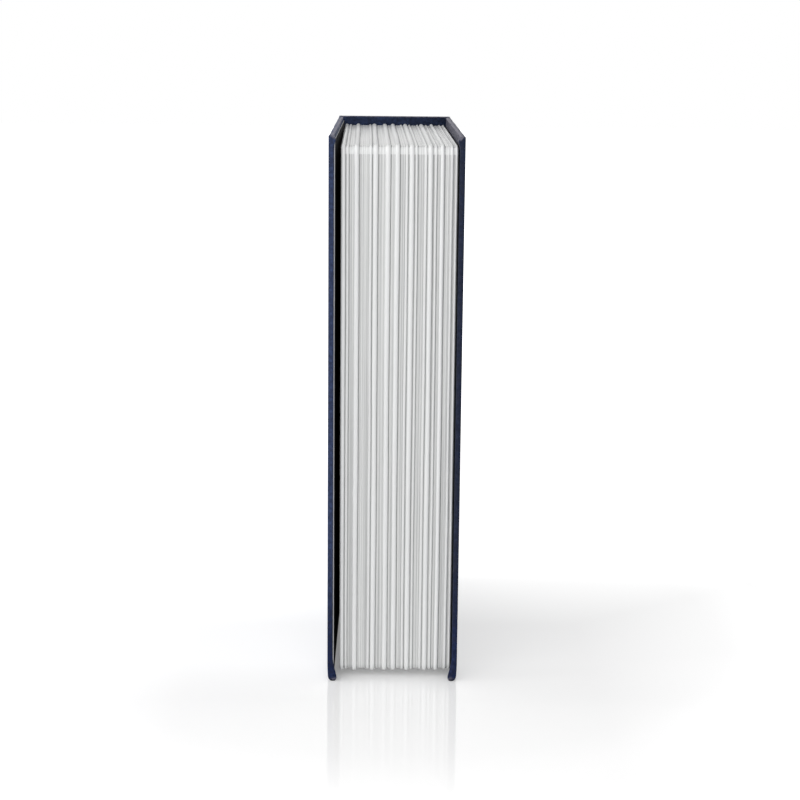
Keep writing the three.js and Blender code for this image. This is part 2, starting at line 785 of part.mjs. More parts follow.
// The cam points to the head when unlocked and to the fore-edge when locked
function lockCam() {
  const half = camWidth / 2;
  const shape = new THREE.Shape();
  shape.absarc(lockY, boxMiddleZ, half, Math.PI, 2 * Math.PI);
  shape.absarc(lockY, boxMiddleZ + camReach - half, half, 0, Math.PI);
  const arm = extrudeAcross(shape, [camX, camX + camSheet]);
  const square = shankSize / 2 + plugClearance;
  const hole = slab(
    [camX - overrun, camX + camSheet + overrun],
    [lockY - square, lockY + square], [boxMiddleZ - square, boxMiddleZ + square],
  );
  return cut(arm, [hole]);
}

function camScrew() {
  const headX = Math.max(lockBackX + shankLength, camX + camSheet) + glueLine;
  const tip = lockBackX + shankLength - camScrewLength + plugClearance;
  return turnedAlongX([
    [0, tip], [camScrewRadius, tip], [camScrewRadius, headX], [camScrewHeadRadius, headX],
    [camScrewHeadRadius, headX + camScrewHeadRise / 2],
    [camScrewHeadRadius / 2, headX + camScrewHeadRise], [0, headX + camScrewHeadRise],
  ], lockY, boxMiddleZ);
}

// Assembly

const book = new THREE.Group();

const backJoint = jointSkin(1, jointEndY + spineBuild / 2);
const backHoles = boxRivetHoles();
book.add(
  piece('back_board', cut(coverBoard(1), [...backHoles, ...boxRivetSeats()]), greyboard),
  piece('back_endpaper', cut(coverEndpaper(1), backHoles), endpaper),
  piece('spine_board', spineBoard(), greyboard),
  piece('case_cloth', join([coverSkin(1), backJoint, spineSkin()]), leatherette),
  piece('page_block', pageBlock(), pagePlastic),
  piece('box_body', boxBody(), boxPaint),
  piece('latch_keeper', latchKeeper(), boxPaint),
  piece('box_hinge_leaf', boxHingeLeaf(), hingeSteel),
  piece('hinge_pin', hingePin(), hingeSteel),
);
boxRivetPlaces.forEach(([y, z], index) => {
  const head = boxFloorX - rivetSeatGap;
  const tail = boardOuterX - rivetTailRise;
  book.add(piece(`box_rivet_${index + 1}`, rivetAlongX(head, tail, y, z), hingeSteel));
});
leafRivetHeights.forEach((z, index) => {
  const head = boxSpineY + leafSeatGap + leafSheet + rivetSeatGap;
  const tail = boxSpineY - boxSheet - rivetSeatGap;
  const rivet = rivetAlongY(head, tail, boxLeafRivetX, z);
  book.add(piece(`box_leaf_rivet_${index + 1}`, rivet, hingeSteel));
});

// The front cover turns about the outer corner of the spine and springs open a little
const frontCover = new THREE.Group();
frontCover.position.set(coverAxis.x, coverAxis.y, 0);
frontCover.rotation.z = -splayAngle;
const frontJoint = jointSkin(-1, spineY - hingeGap);
for (const [name, solid, material] of [
  ['front_board', coverBoard(-1), greyboard],
  ['front_endpaper', coverEndpaper(-1), endpaper],
  ['front_cloth', join([coverSkin(-1), frontJoint]), leatherette],
]) {
  const mesh = piece(name, solid.translate([-coverAxis.x, -coverAxis.y, 0]), material);
  frontCover.add(mesh);
}
book.add(frontCover);

const lid = new THREE.Group();
lid.add(
  piece('box_lid', boxLid(), boxPaint),
  piece('lid_hinge_leaf', lidHingeLeaf(), hingeSteel),
  piece('lock_housing', lockHousing(), lockChrome),
  piece('lock_washer', lockWasher(), hingeSteel),
  piece('lock_nut', lockNut(), hingeSteel),
  piece('lock_plug', lockPlug(), lockChrome),
  piece('lock_cam', lockCam(), hingeSteel),
  piece('cam_screw', camScrew(), hingeSteel),
);
leafRivetHeights.forEach((z, index) => {
  const head = lidOuterX - glueLine - leafSheet - rivetSeatGap;
  const tail = lidInnerX + rivetSeatGap;
  const rivet = rivetAlongX(head, tail, lidLeafRivetY, z);
  lid.add(piece(`lid_leaf_rivet_${index + 1}`, rivet, hingeSteel));
});
book.add(lid);

// The origin is the middle of the foot
const extent = new THREE.Box3().setFromObject(book);
const middle = extent.getCenter(new THREE.Vector3());
book.position.set(-middle.x, -middle.y, -extent.min.z);

export default book;
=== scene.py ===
# %% [markdown]
# # A book diversion safe in Blender
# The object is a false book: a cloth-covered case round a moulded block of imitation pages, with
# a locked steel box inside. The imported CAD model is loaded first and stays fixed. Each finished
# piece is then built over the CAD solid that it stands for, in the same place and size.

# %% Load the fixed frame
import math

import bmesh
import bpy
import numpy as np
from mathutils import Matrix, Vector
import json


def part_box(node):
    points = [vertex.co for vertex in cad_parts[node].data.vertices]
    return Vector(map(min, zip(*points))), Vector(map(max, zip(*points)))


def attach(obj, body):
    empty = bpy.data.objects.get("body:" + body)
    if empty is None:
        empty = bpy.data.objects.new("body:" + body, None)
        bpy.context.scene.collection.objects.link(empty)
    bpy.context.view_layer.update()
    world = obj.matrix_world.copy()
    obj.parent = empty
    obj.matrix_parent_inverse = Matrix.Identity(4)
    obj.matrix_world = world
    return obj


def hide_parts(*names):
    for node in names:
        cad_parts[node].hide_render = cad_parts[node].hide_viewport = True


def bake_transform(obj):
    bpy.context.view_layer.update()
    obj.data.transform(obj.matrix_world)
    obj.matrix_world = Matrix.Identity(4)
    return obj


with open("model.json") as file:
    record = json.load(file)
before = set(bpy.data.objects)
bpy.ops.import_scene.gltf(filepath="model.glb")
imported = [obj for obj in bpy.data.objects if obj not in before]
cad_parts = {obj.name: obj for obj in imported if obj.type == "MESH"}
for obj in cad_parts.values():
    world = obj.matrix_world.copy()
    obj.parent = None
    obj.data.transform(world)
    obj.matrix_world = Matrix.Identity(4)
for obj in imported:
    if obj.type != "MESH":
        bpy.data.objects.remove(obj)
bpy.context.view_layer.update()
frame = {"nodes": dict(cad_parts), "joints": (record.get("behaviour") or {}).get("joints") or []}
MM = 0.001
scene = bpy.context.scene
joints = {joint["name"]: joint for joint in frame["joints"]}
print("nodes:", len(frame["nodes"]), "joints:", sorted(joints))

# %% [markdown]
# ## The camera
# The photograph was taken with a long lens, a little above the book's head and slightly to the
# left of its middle. The place and the turn were found by fitting the corners of the book.

# %% Camera
def in_scene(name, data):
    """A new object with this data, linked to the scene."""
    made = bpy.data.objects.new(name, data)
    scene.collection.objects.link(made)
    return made


CAMERA_PLACE = Vector((-12.8, -850.0, 289.7)) * MM
CAMERA_PITCH, CAMERA_YAW, CAMERA_ROLL = (math.radians(a) for a in (11.85, -1.14, 0.59))
FOCAL_LENGTH = 82.74
turn = Matrix.Rotation(CAMERA_YAW, 3, "Z") @ Matrix.Rotation(-CAMERA_PITCH, 3, "X")
forward, right, up = (turn @ Vector(v) for v in ((0, 1, 0), (1, 0, 0), (0, 0, 1)))
image_right = math.cos(CAMERA_ROLL) * right + math.sin(CAMERA_ROLL) * up
image_up = -math.sin(CAMERA_ROLL) * right + math.cos(CAMERA_ROLL) * up
camera_data = bpy.data.cameras.new("long_lens")
camera_data.lens = FOCAL_LENGTH
camera = in_scene("long_lens", camera_data)
axes = Matrix((image_right, image_up, -forward)).transposed().to_4x4()
camera.matrix_world = Matrix.Translation(CAMERA_PLACE) @ axes
scene.camera = camera
scene.view_settings.view_transform = "Standard"
print("camera looks along", [round(c, 3) for c in forward])

# %% [markdown]
# ## Colours and nodes
# Colours are written as sRGB hex values, as in a paint program, and one function turns them into
# the linear values that shaders use. Node trees are built in the script, so that every size in
# them has a name here: one function adds a node, one feeds its inputs, and short ones make the
# four kinds that are used most.

# %% Helpers for colours and nodes
def linear(code):
    """The linear red, green, blue and alpha of an sRGB hex colour."""
    shares = [int(code[i:i + 2], 16) / 255 for i in (1, 3, 5)]
    return [s / 12.92 if s <= 0.04045 else ((s + 0.055) / 1.055) ** 2.4 for s in shares] + [1.0]


def feed(node, inputs):
    """Gives each input a value or a hex colour, or links it from a node or from a socket."""
    for name, value in inputs.items():
        if isinstance(value, str):
            value = linear(value)
        if isinstance(value, bpy.types.Node):
            value = next(output for output in value.outputs if output.enabled)
        if isinstance(value, bpy.types.NodeSocket):
            node.id_data.links.new(value, node.inputs[name])
        else:
            node.inputs[name].default_value = value


def add(tree, kind, inputs=None, **settings):
    """A new node with its settings, fed with its inputs."""
    made = tree.nodes.new(kind)
    for name, setting in settings.items():
        setattr(made, name, setting)
    feed(made, inputs or {})
    return made


def calc(tree, operation, *terms):
    """A number worked out from one to three others."""
    return add(tree, "ShaderNodeMath", dict(enumerate(terms)), operation=operation)


def mix(tree, factor, first, second):
    """A colour between two others."""
    return add(tree, "ShaderNodeMix", {"Factor": factor, "A": first, "B": second}, data_type="RGBA")


def ramp(tree, value, start=0.0, end=1.0, first=0.0, last=1.0, **settings):
    """A number that goes from first to last while the value goes from start to end."""
    return add(tree, "ShaderNodeMapRange", {
        "Value": value, "From Min": start, "From Max": end, "To Min": first, "To Max": last,
    }, **settings)


def noise(tree, vector, scale, detail=2.0):
    """A noise over the coordinates."""
    return add(tree, "ShaderNodeTexNoise", {"Vector": vector, "Scale": scale, "Detail": detail})


def new_material(name):
    """A material, its node tree, its main shader and its coordinates on the object."""
    material = bpy.data.materials.new(name)
    material.use_nodes = True
    tree = material.node_tree
    coords = add(tree, "ShaderNodeTexCoord").outputs["Object"]
    return material, tree, tree.nodes["Principled BSDF"], coords


print("navy as linear values:", [round(c, 3) for c in linear("#212e4b")])

# %% [markdown]
# ## Navy imitation leather
# The case is covered in vinyl-coated book cloth: a paper or cotton back with a thin navy coat,
# embossed with a leather grain. A painted image could carry the grain, but a Voronoi pattern in
# real sizes gives pebbles and creases on every side without a seam. The front cover is painted
# paler than the back, as painted light from the left, and the spine gets about half of it.
# The feet of both fore-edges are painted darker, as painted shade.

# %% Grain of the leather
GRAIN, PATCH = 1.3 * MM, 22.22 * MM
leather, tree, shader, coords = new_material("navy imitation leather")
pebbles = add(tree, "ShaderNodeTexVoronoi", {"Vector": coords, "Scale": 1 / GRAIN})
pebble_tint = add(tree, "ShaderNodeSeparateColor", {"Color": pebbles.outputs["Color"]})
fine = noise(tree, coords, 3 / GRAIN, 3.0)
patches = noise(tree, coords, 1 / PATCH, 4.0)
sides = add(tree, "ShaderNodeSeparateXYZ", {"Vector": coords})
print("leather grain", round(GRAIN / MM, 2), "mm, patches", round(PATCH / MM, 1), "mm")

# %% Navy, with painted light on the front cover and painted shade at the feet
# The second tone is painted shade for the feet of the fore-edges, the third painted light for the front
# cover.
deep, foot_tone, lit_tone = (mix(tree, patches, darker, lighter) for darker, lighter in (
    ("#131b2f", "#212e4b"), ("#0d1b3a", "#1a2d5c"), ("#324063", "#425179"),
))
# Axis, the millimetres where it starts and ends, its values there, and how it runs between
lit_from_left, above_foot, from_fore_edge, off_spine = (ramp(
    tree, sides.outputs[axis], start * MM, end * MM, first, last, interpolation_type=run,
) for axis, start, end, first, last, run in (
    ("X", 24, -27, 0.0, 1.0, "LINEAR"), ("Z", 15, 60, 0.0, 1.0, "SMOOTHSTEP"),
    ("Y", -77, -74, 0.0, 1.0, "SMOOTHSTEP"), ("Y", 68, 74, 1.0, 0.45, "LINEAR"),
))
# The front cover's painted light stops at the foot of the fore-edges, which takes the painted-shade
# tone, and drops to about half near the spine.
clear_of_foot_shade = calc(tree, "MAXIMUM", above_foot, from_fore_edge)
pale_side = calc(tree, "MULTIPLY", lit_from_left, clear_of_foot_shade)
pale = calc(tree, "MULTIPLY", pale_side, off_spine)
unlit_tone = mix(tree, clear_of_foot_shade, foot_tone, deep)
tone = mix(tree, pale, unlit_tone, lit_tone)
print("the colour of the cloth is mixed in", len(tree.nodes), "nodes so far")

# %% [markdown]
# The creases between the pebbles are painted darker, as painted shade, and each pebble has its
# own tone. Where the coat is folded over the boards it's grey, partly rubbed and partly a painted
# sheen of the light that grazes the board edges. Where it's turned in at the head of the back
# cover, the grey is painted light. An attribute on the mesh says where, and a noise breaks the
# grey into patches. The same cells are pressed into the surface as relief.

# %% Creases in painted shade, and grey of wear and painted light
PEBBLE_VARIETY, CREASE_START, CREASE_END, CREASE_SHARE = 0.6, 0.3, 1.15, 0.54
tinted = calc(tree, "MULTIPLY_ADD", pebble_tint.outputs["Red"], PEBBLE_VARIETY, pebbles)
creases = ramp(tree, tinted, CREASE_START, CREASE_END, last=CREASE_SHARE)
# The creases are painted darker, as painted shade.
creased = mix(tree, creases, tone, "#080c18")
# The grey is wear and painted light: a painted sheen on the rounded board edges, and painted light on
# the back cover's turned-in cloth.
wear_and_light = add(tree, "ShaderNodeAttribute", attribute_name="wear_and_light")
patch_noise = noise(tree, coords, 1.1 / GRAIN, 3.0)
patchy_share = ramp(tree, patch_noise, 0.4, 0.6, 0.3)
wear_and_light_spots = calc(tree, "MULTIPLY", wear_and_light.outputs["Fac"], patchy_share)
wear_and_light_tone = mix(tree, wear_and_light_spots, creased, "#85828f")
feed(shader, {"Base Color": wear_and_light_tone})
print("leather colour takes", len(tree.nodes), "nodes")

# %% Relief and sheen of the leather
FINE_SHARE, EMBOSS_DEPTH = 0.5, 0.22 * MM
depth = calc(tree, "MULTIPLY_ADD", fine, FINE_SHARE, pebbles)
emboss = add(tree, "ShaderNodeBump", {
    "Height": depth, "Strength": 0.8, "Distance": EMBOSS_DEPTH,
}, invert=True)
satin = ramp(tree, patches, first=0.42, last=0.56)
feed(shader, {"Normal": emboss, "Roughness": satin, "IOR": 1.5, "Specular IOR Level": 0.1})
print("leather is embossed", round(EMBOSS_DEPTH / MM, 2), "mm deep")

# %% [markdown]
# ## Moulded white plastic
# The page block is injection-moulded ABS. The mould was polished, so the surface is glossy, with
# faint lines along the ribs that stand for page edges. A noise stretched along the pages gives
# the lines. The valleys are painted greyer than the crests and the grooves greyer still, as
# painted shade between the ribs, which an attribute on the mesh carries: 1 on a crest, 0 in a
# valley and -1 at the foot of a groove.

# %% White ABS
PAGE_LINE, PAGE_RUN, PAGE_RELIEF = 0.75 * MM, 166.67 * MM, 0.04 * MM
plastic, tree, shader, coords = new_material("moulded white ABS")
height = add(tree, "ShaderNodeAttribute", attribute_name="rib")
stretched = add(tree, "ShaderNodeMapping", {
    "Vector": coords, "Scale": (1 / PAGE_LINE, 1 / PAGE_RUN, 1 / PAGE_RUN),
})
lines = add(tree, "ShaderNodeTexNoise", {
    "Vector": stretched, "Scale": 1.0, "Detail": 3.0, "Roughness": 0.6,
})
page_share = ramp(tree, lines, 0.35, 0.65)
# The valleys and grooves are painted darker than the crests, as painted shade between the ribs.
valley = mix(tree, page_share, "#c3c4c4", "#e5e6e5")
page_tone = mix(tree, height.outputs["Fac"], valley, "#f8f9f9")
sunk = calc(tree, "MULTIPLY", height.outputs["Fac"], -1.0)
groove_tone = mix(tree, sunk, page_tone, "#9c9d9e")
page_relief = add(tree, "ShaderNodeBump", {"Height": lines, "Strength": 0.3, "Distance": PAGE_RELIEF})
feed(shader, {"Base Color": groove_tone, "Normal": page_relief, "Roughness": 0.26, "IOR": 1.53})
print("page lines", round(PAGE_LINE / MM, 2), "mm wide,", len(tree.nodes), "nodes")

# %% [markdown]
# ## Black lining paper
# A sheet of matt paper lines the inside of each cover. Its near-black face is painted shade of
# the narrow gap beside the block. The cut edge of the front one shows its pale core. The sheet
# could have a second material on its edge, but it has one, which picks the colour by which way
# the surface faces: across the cover, or along it. The back one's edge is painted near-black,
# as painted shade, which an attribute on the mesh says.

# %% Lining paper
SPECK, FIBRE, FIBRE_RELIEF = 2.381 * MM, 1.111 * MM, 0.03 * MM
paper, tree, shader, coords = new_material("black lining paper with a pale cut edge")
facing = add(tree, "ShaderNodeSeparateXYZ", {"Vector": coords.node.outputs["Normal"]})
flat_on = calc(tree, "ABSOLUTE", facing.outputs["X"])
face_share = ramp(tree, flat_on, 0.35, 0.75)
specks, fibres = (noise(tree, coords, 1 / size, detail)
                  for size, detail in ((SPECK, 2.0), (FIBRE, 5.0)))
# The near-black face tone is painted shade.
pale_tone, face_tone = (mix(tree, pattern, darker, lighter) for pattern, darker, lighter in (
    (specks, "#cfd1d4", "#f6f7f8"), (fibres, "#0c0c0e", "#1b1b1e"),
))
pale_cut_edge = add(tree, "ShaderNodeAttribute", attribute_name="pale_cut_edge")
# The dark edge tone, used on the back paper, is painted shade.
edge_tone = mix(tree, pale_cut_edge.outputs["Fac"], "#09090b", pale_tone)
paper_tone = mix(tree, face_share, edge_tone, face_tone)
tooth = add(tree, "ShaderNodeBump", {"Height": fibres, "Strength": 0.3, "Distance": FIBRE_RELIEF})
feed(shader, {
    "Base Color": paper_tone, "Normal": tooth, "Roughness": 0.92, "Specular IOR Level": 0.15,
})
print("lining paper fibres", round(FIBRE / MM, 2), "mm,", len(tree.nodes), "nodes")

# %% [markdown]
# ## Powder coat, zinc and chrome
# The box and its lid are folded sheet steel with a baked polyester powder coat, whose fine
# texture catches the light in grains of about half a millimetre. Hinge and rivets are
# zinc-plated, a grey metal with a soft sheen and faint rolling lines. The lock is bright
# nickel-chrome with a faint haze. Both metals are the same nodes with other sizes, so one
# function makes them. Small patterns of roughness and tone keep all three from looking flat.

# %% Powder coat
POWDER_GRAIN, CLOUD, PEEL_RELIEF = 0.55 * MM, 16.67 * MM, 0.06 * MM
powder, tree, shader, coords = new_material("black textured powder coat")
grains = add(tree, "ShaderNodeTexVoronoi", {
    "Vector": coords, "Scale": 1 / POWDER_GRAIN,
}, feature="SMOOTH_F1")
clouds = noise(tree, coords, 1 / CLOUD)
coat_tone = mix(tree, clouds, "#17181a", "#222326")
orange_peel = add(tree, "ShaderNodeBump", {"Height": grains, "Strength": 0.5, "Distance": PEEL_RELIEF})
feed(shader, {"Base Color": coat_tone, "Normal": orange_peel, "Roughness": 0.42, "IOR": 1.52})
print("powder grains", round(POWDER_GRAIN / MM, 2), "mm,", len(tree.nodes), "nodes")

# %% Plated metals
def plated(name, runs, detail, colours, roughness):
    """A metal whose tone and sheen vary in streaks, as long as the runs along x, y and z."""
    material, tree, shader, coords = new_material(name)
    drawn = add(tree, "ShaderNodeMapping", {"Vector": coords, "Scale": [1 / run for run in runs]})
    streaks = noise(tree, drawn, 1.0, detail)
    tone = mix(tree, streaks, *colours)
    sheen = ramp(tree, streaks, first=roughness[0], last=roughness[1])
    feed(shader, {"Base Color": tone, "Roughness": sheen, "Metallic": 1.0})
    return material


ROLL_WIDTH, ROLL_LENGTH, HAZE = 1.111 * MM, 14.29 * MM, 2.857 * MM
zinc = plated("zinc-plated steel", (ROLL_WIDTH, ROLL_WIDTH, ROLL_LENGTH), 4.0,
              ("#9ea2a6", "#c3c5c6"), (0.26, 0.42))
chrome = plated("nickel-chrome plate", (HAZE, HAZE, HAZE), 3.0,
                ("#cfd2d6", "#dfe1e3"), (0.08, 0.16))
print("materials:", sorted(material.name for material in bpy.data.materials))

# %% [markdown]
# ## From points to a piece
# Every piece is worked out in millimetres in the frame's own axes, then scaled to metres as its
# mesh is made, so its object stays at the origin. Points that meet are merged and the faces
# turned outwards, because light and the export both go by which way a face looks. A value stored
# on each point tells a material where the piece carries wear and painted light, or how high its
# ribs stand, which sets the painted shade of the plastic.

# %% Make and smooth a mesh
MERGE = 0.001 * MM


def mesh_object(name, points, faces, material):
    """A linked mesh object from points in millimetres."""
    mesh = bpy.data.meshes.new(name)
    mesh.from_pydata((np.asarray(points, float) * MM).tolist(), [], faces)
    mesh.materials.append(material)
    return in_scene(name, mesh)


def ring_faces(size, rings):
    """The faces between closed rings of points that follow each other."""
    faces = []
    for start in range(0, (rings - 1) * size, size):
        for index in range(size):
            a, b = start + index, start + (index + 1) % size
            faces.append((a, b, b + size, a + size))
    return faces


def mark(obj, name, values):
    """Stores one value on each point of a mesh."""
    obj.data.attributes.new(name, "FLOAT", "POINT").data.foreach_set("value", values)


def outward(obj):
    """Merges doubled points and turns the faces outwards."""
    work = bmesh.new()
    work.from_mesh(obj.data)
    bmesh.ops.remove_doubles(work, verts=work.verts, dist=MERGE)
    bmesh.ops.recalc_face_normals(work, faces=work.faces)
    work.to_mesh(obj.data)
    work.free()


def smooth(obj, angle):
    """Smooth shading, but sharp where two faces meet at more than the angle, in degrees."""
    obj.data.shade_smooth()
    obj.data.set_sharp_from_angle(angle=math.radians(angle))


print("points within", round(MERGE / MM, 4), "mm of each other are merged")

# %% [markdown]
# ## The cased cover, drawn in plan
# One sheet of imitation leather goes round both boards, the spine and the two joints, with the
# greyboard inside it. Seen from the head it's a long strip, 2.3 mm thick over board and 0.3 mm
# at the joints, bent round the block. So the piece is drawn as that strip: pairs of points on
# its outer and inner faces, from the fore-edge of the back cover, round the spine, to the
# fore-edge of the front cover.

# %% Measures of the cover
low, high = (np.array(corner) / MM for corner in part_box("case_cloth"))
hinge = np.array(joints["front_cover_hinge"]["pos_m"])[:2] / MM
BACK_X, FORE_Y, SPINE_Y, HEIGHT = high[0], low[1], high[1], high[2]
HINGE_GAP = 0.15
FRONT_X = hinge[0] + HINGE_GAP
COVER_THICK, CLOTH_THICK = 2.26, 0.3
JOINT_WIDTH, JOINT_DIP = 8.0, 0.9
SPINE_INNER_Y = SPINE_Y - COVER_THICK
JOINT_START_Y = SPINE_INNER_Y - JOINT_WIDTH
FORE_RADIUS, SPINE_RADIUS = 0.5, 1.0
print("cover from x", FRONT_X.round(2), "to", BACK_X.round(2), "depth", (SPINE_Y - FORE_Y).round(2))

# %% One cover in plan
FORE_STEPS, FINE_END, FINE_STEP, BROAD_START, BROAD_STEPS, JOINT_STEPS = 6, 7.0, 0.5, 8.0, 26, 14
# Outer y, depth and inner y round the board's end, with y from where the joint starts
BOARD_END = [(-0.25, COVER_THICK - 0.03, -0.2), (-0.05, COVER_THICK - 0.22, 0.0),
             (0.12, CLOTH_THICK + 0.5, 0.02), (0.3, CLOTH_THICK + 0.1, 0.14)]
CLEAR, SPINE_STEPS, INNER_START, INNER_STEP = 0.6, 7, 0.2, 0.15


def joint_dip(y):
    """How far the cloth dips into the joint's groove."""
    share = np.clip((y - JOINT_START_Y) / JOINT_WIDTH, 0, 1)
    return JOINT_DIP * (1 - math.cos(2 * math.pi * share)) / 2


def cover_stations():
    """Pairs of (depth below the outer face, y) from the fore-edge to the joint's far end."""
    pairs = [((COVER_THICK * 0.4, FORE_Y), (COVER_THICK * 0.6, FORE_Y))]
    for angle in np.radians(np.linspace(0, 90, FORE_STEPS)):
        back = FORE_RADIUS * (1 - math.sin(angle))
        along = FORE_Y + FORE_RADIUS * (1 - math.cos(angle))
        pairs.append(((back, along), (COVER_THICK - back, along)))
    fine_steps = list(np.arange(1.0, FINE_END, FINE_STEP))
    broad_steps = list(np.linspace(BROAD_START, JOINT_START_Y - FORE_Y - CLEAR, BROAD_STEPS))
    pairs += [((0, FORE_Y + s), (COVER_THICK, FORE_Y + s)) for s in fine_steps + broad_steps]
    for outer_y, depth, inner_y in BOARD_END:
        y = JOINT_START_Y + outer_y
        pairs.append(((joint_dip(y), y), (depth, JOINT_START_Y + inner_y)))
    for y in np.linspace(JOINT_START_Y + CLEAR, SPINE_INNER_Y - 0.5, JOINT_STEPS):
        pairs.append(((joint_dip(y), y), (joint_dip(y) + CLOTH_THICK, y)))
    return pairs


def back_spine_corner():
    """Pairs of (x, y) round the solid corner between the back joint and the spine."""
    inner_x = BACK_X - CLOTH_THICK
    pairs = [((BACK_X, SPINE_INNER_Y + 0.4), (inner_x - 0.05, SPINE_INNER_Y - 0.12))]
    for index, angle in enumerate(np.radians(np.linspace(0, 90, SPINE_STEPS))):
        outer = (BACK_X - SPINE_RADIUS * (1 - math.cos(angle)),
                 SPINE_Y - SPINE_RADIUS * (1 - math.sin(angle)))
        pairs.append((outer, (inner_x - INNER_START - INNER_STEP * index, SPINE_INNER_Y)))
    return pairs


print("pairs of points along one cover:", len(cover_stations()))

# %% [markdown]
# At the front the cloth folds open, so there the strip is drawn with a slit: the end of the spine
# board, then a crotch under the outer corner, then the inside of the joint.

# %% The front corner of the spine
SPINE_END_INSET, PAST_BACK, BEFORE_FRONT, SPINE_POINTS = 1.01, 3.2, 4.2, 10
# Outer x, inner x and inner y from the end of the spine board
SPINE_BOARD_END = [(1.4, 1.0, 0.0), (0.9, 0.4, 0.01), (0.6, 0.08, 0.12), (0.3, 0.0, 0.4)]
# Angle round the outer corner, and the inner point's x and y from the board's outer end
CROTCH = [(90, 0.0, -1.2), (98, 0.0, -0.75), (105, -0.03, -0.48), (112, -0.14, -0.36),
          (119, -0.27, -0.34), (126, -0.41, -0.4), (134, -0.54, -0.5), (144, -0.64, -0.66),
          (160, -0.7, -0.9), (180, -0.71, -1.15)]


def front_spine_corner():
    """Pairs of (x, y) from the spine, round its front corner, into the front joint."""
    end_x = FRONT_X + SPINE_END_INSET
    pairs = [((end_x + outer_x, SPINE_Y), (end_x + inner_x, SPINE_INNER_Y + inner_y))
             for outer_x, inner_x, inner_y in SPINE_BOARD_END]
    for degrees, inner_x, inner_y in CROTCH:
        angle = math.radians(degrees)
        outer = (FRONT_X + SPINE_RADIUS + SPINE_RADIUS * math.cos(angle),
                 SPINE_Y - SPINE_RADIUS + SPINE_RADIUS * math.sin(angle))
        pairs.append((outer, (end_x + inner_x, SPINE_Y + inner_y)))
    pairs.append(((FRONT_X, SPINE_INNER_Y + 0.5), (FRONT_X + CLOTH_THICK, SPINE_INNER_Y + 0.5)))
    return pairs


def cover_strip():
    """Outer points, inner points, and which cover each belongs to: 1 back, -1 front, 0 spine."""
    half = cover_stations()
    back = [((BACK_X - o[0], o[1]), (BACK_X - i[0], i[1])) for o, i in half]
    front = [((FRONT_X + o[0], o[1]), (FRONT_X + i[0], i[1])) for o, i in half]
    spine_x = np.linspace(BACK_X - PAST_BACK, FRONT_X + BEFORE_FRONT, SPINE_POINTS)
    spine = [((x, SPINE_Y), (x, SPINE_INNER_Y)) for x in spine_x]
    middle = back_spine_corner() + spine + front_spine_corner()
    pairs = back + middle + front[::-1]
    sides = [1] * len(back) + [0] * len(middle) + [-1] * len(front)
    outer, inner = (np.array([pair[k] for pair in pairs]) for k in (0, 1))
    return outer, inner, np.array(sides)


strip_outer, strip_inner, strip_side = cover_strip()
print("stations in plan:", len(strip_side))

# %% [markdown]
# ## The cased cover, raised to its height
# The strip is carried up in rows. At the tail and the head the rows step inwards on a quarter
# circle, which rounds the edge where cloth is turned over board. At the fore-edge corners the
# folded cloth makes a lump on the inner side, and the foot of each corner is pressed round.

# %% Rows of the cover
ARC_STEPS, END_REACH, MIDDLE_ROWS = 6, 16, 36
NEAR_END = [2.8, 3.4, 4.0, 4.8, 6.0, 7.5, 9.5, 12.0]


def bump(share):
    """A smooth step from 0 to 1."""
    share = np.clip(share, 0, 1)
    return share * share * (3 - 2 * share)


def ring_normals(ring):
    """Outward ways along a closed ring that has its solid inside."""
    tangent = np.roll(ring, -1, axis=0) - np.roll(ring, 1, axis=0)
    tangent /= np.linalg.norm(tangent, axis=1)[:, None]
    away = np.stack([tangent[:, 1], -tangent[:, 0]], axis=1)
    x, y = ring[:, 0], ring[:, 1]
    area = np.sum(x * np.roll(y, -1) - y * np.roll(x, -1))
    return away if area > 0 else -away


def cover_rows():
    """Rows of points, each the closed ring at one level: the shares of the edge's arc, or z."""
    arc = np.radians(np.linspace(0, 90, ARC_STEPS))
    middle = list(np.linspace(END_REACH, HEIGHT - END_REACH, MIDDLE_ROWS))
    return arc, NEAR_END + middle + [HEIGHT - z for z in reversed(NEAR_END)]


print("levels between the rounded ends:", len(cover_rows()[1]))

# %% [markdown]
# The folded corners, the slope of the head at the fore-edge and a wave of a tenth of a
# millimetre are added to each row as it's made. Cloth is marked grey over the rounded edges,
# partly as wear and partly as painted sheen, and most of all where it's turned in at the head of
# the back cover, where the grey is painted light. The outer edges of the boards keep a quarter of
# the mark. Such marks could be painted by hand, but rules that follow the shape are easier to
# change.

# %% Shape and wear of each row
EDGE_RADIUS, THIN_SHARE = 0.62, 0.42
CORNER_RADIUS, CORNER_STRETCH, CORNER_REACH, HEAD_WIDEN, HEAD_SHARPEN = 1.8, 0.35, 10.0, 0.35, 0.2
FOLD_ACROSS, FOLD_DROP, DROP_REACH, HEAD_BAND = 6.0, 1.35, 4.2, 7
TAIL_FOLD, TAIL_FOLD_REACH = 1.75, 12.0
HEAD_FOLD, HEAD_FOLD_REACH = 0.9, 5.0
TAPER, TAPER_REACH, TAPER_DEEP = 0.45, 9.0, 14
WAVE, WAVE_UP, WAVE_DEEP, WAVE_END, HEAD_WAVE, HEAD_WAVE_RUN = 0.09, 31, 48, 150, 0.07, 6.1
# Reach of the turn-in mark, its painted light, the fore-edge band, the wear there, and the share of the
# edge mark, wear and painted sheen, kept on the outer edges
TURN_IN, TURN_IN_LIGHT, FORE_BAND, FORE_WEAR, OUTER_MARK_SHARE = 6.0, 0.7, 0.9, 0.03, 0.25


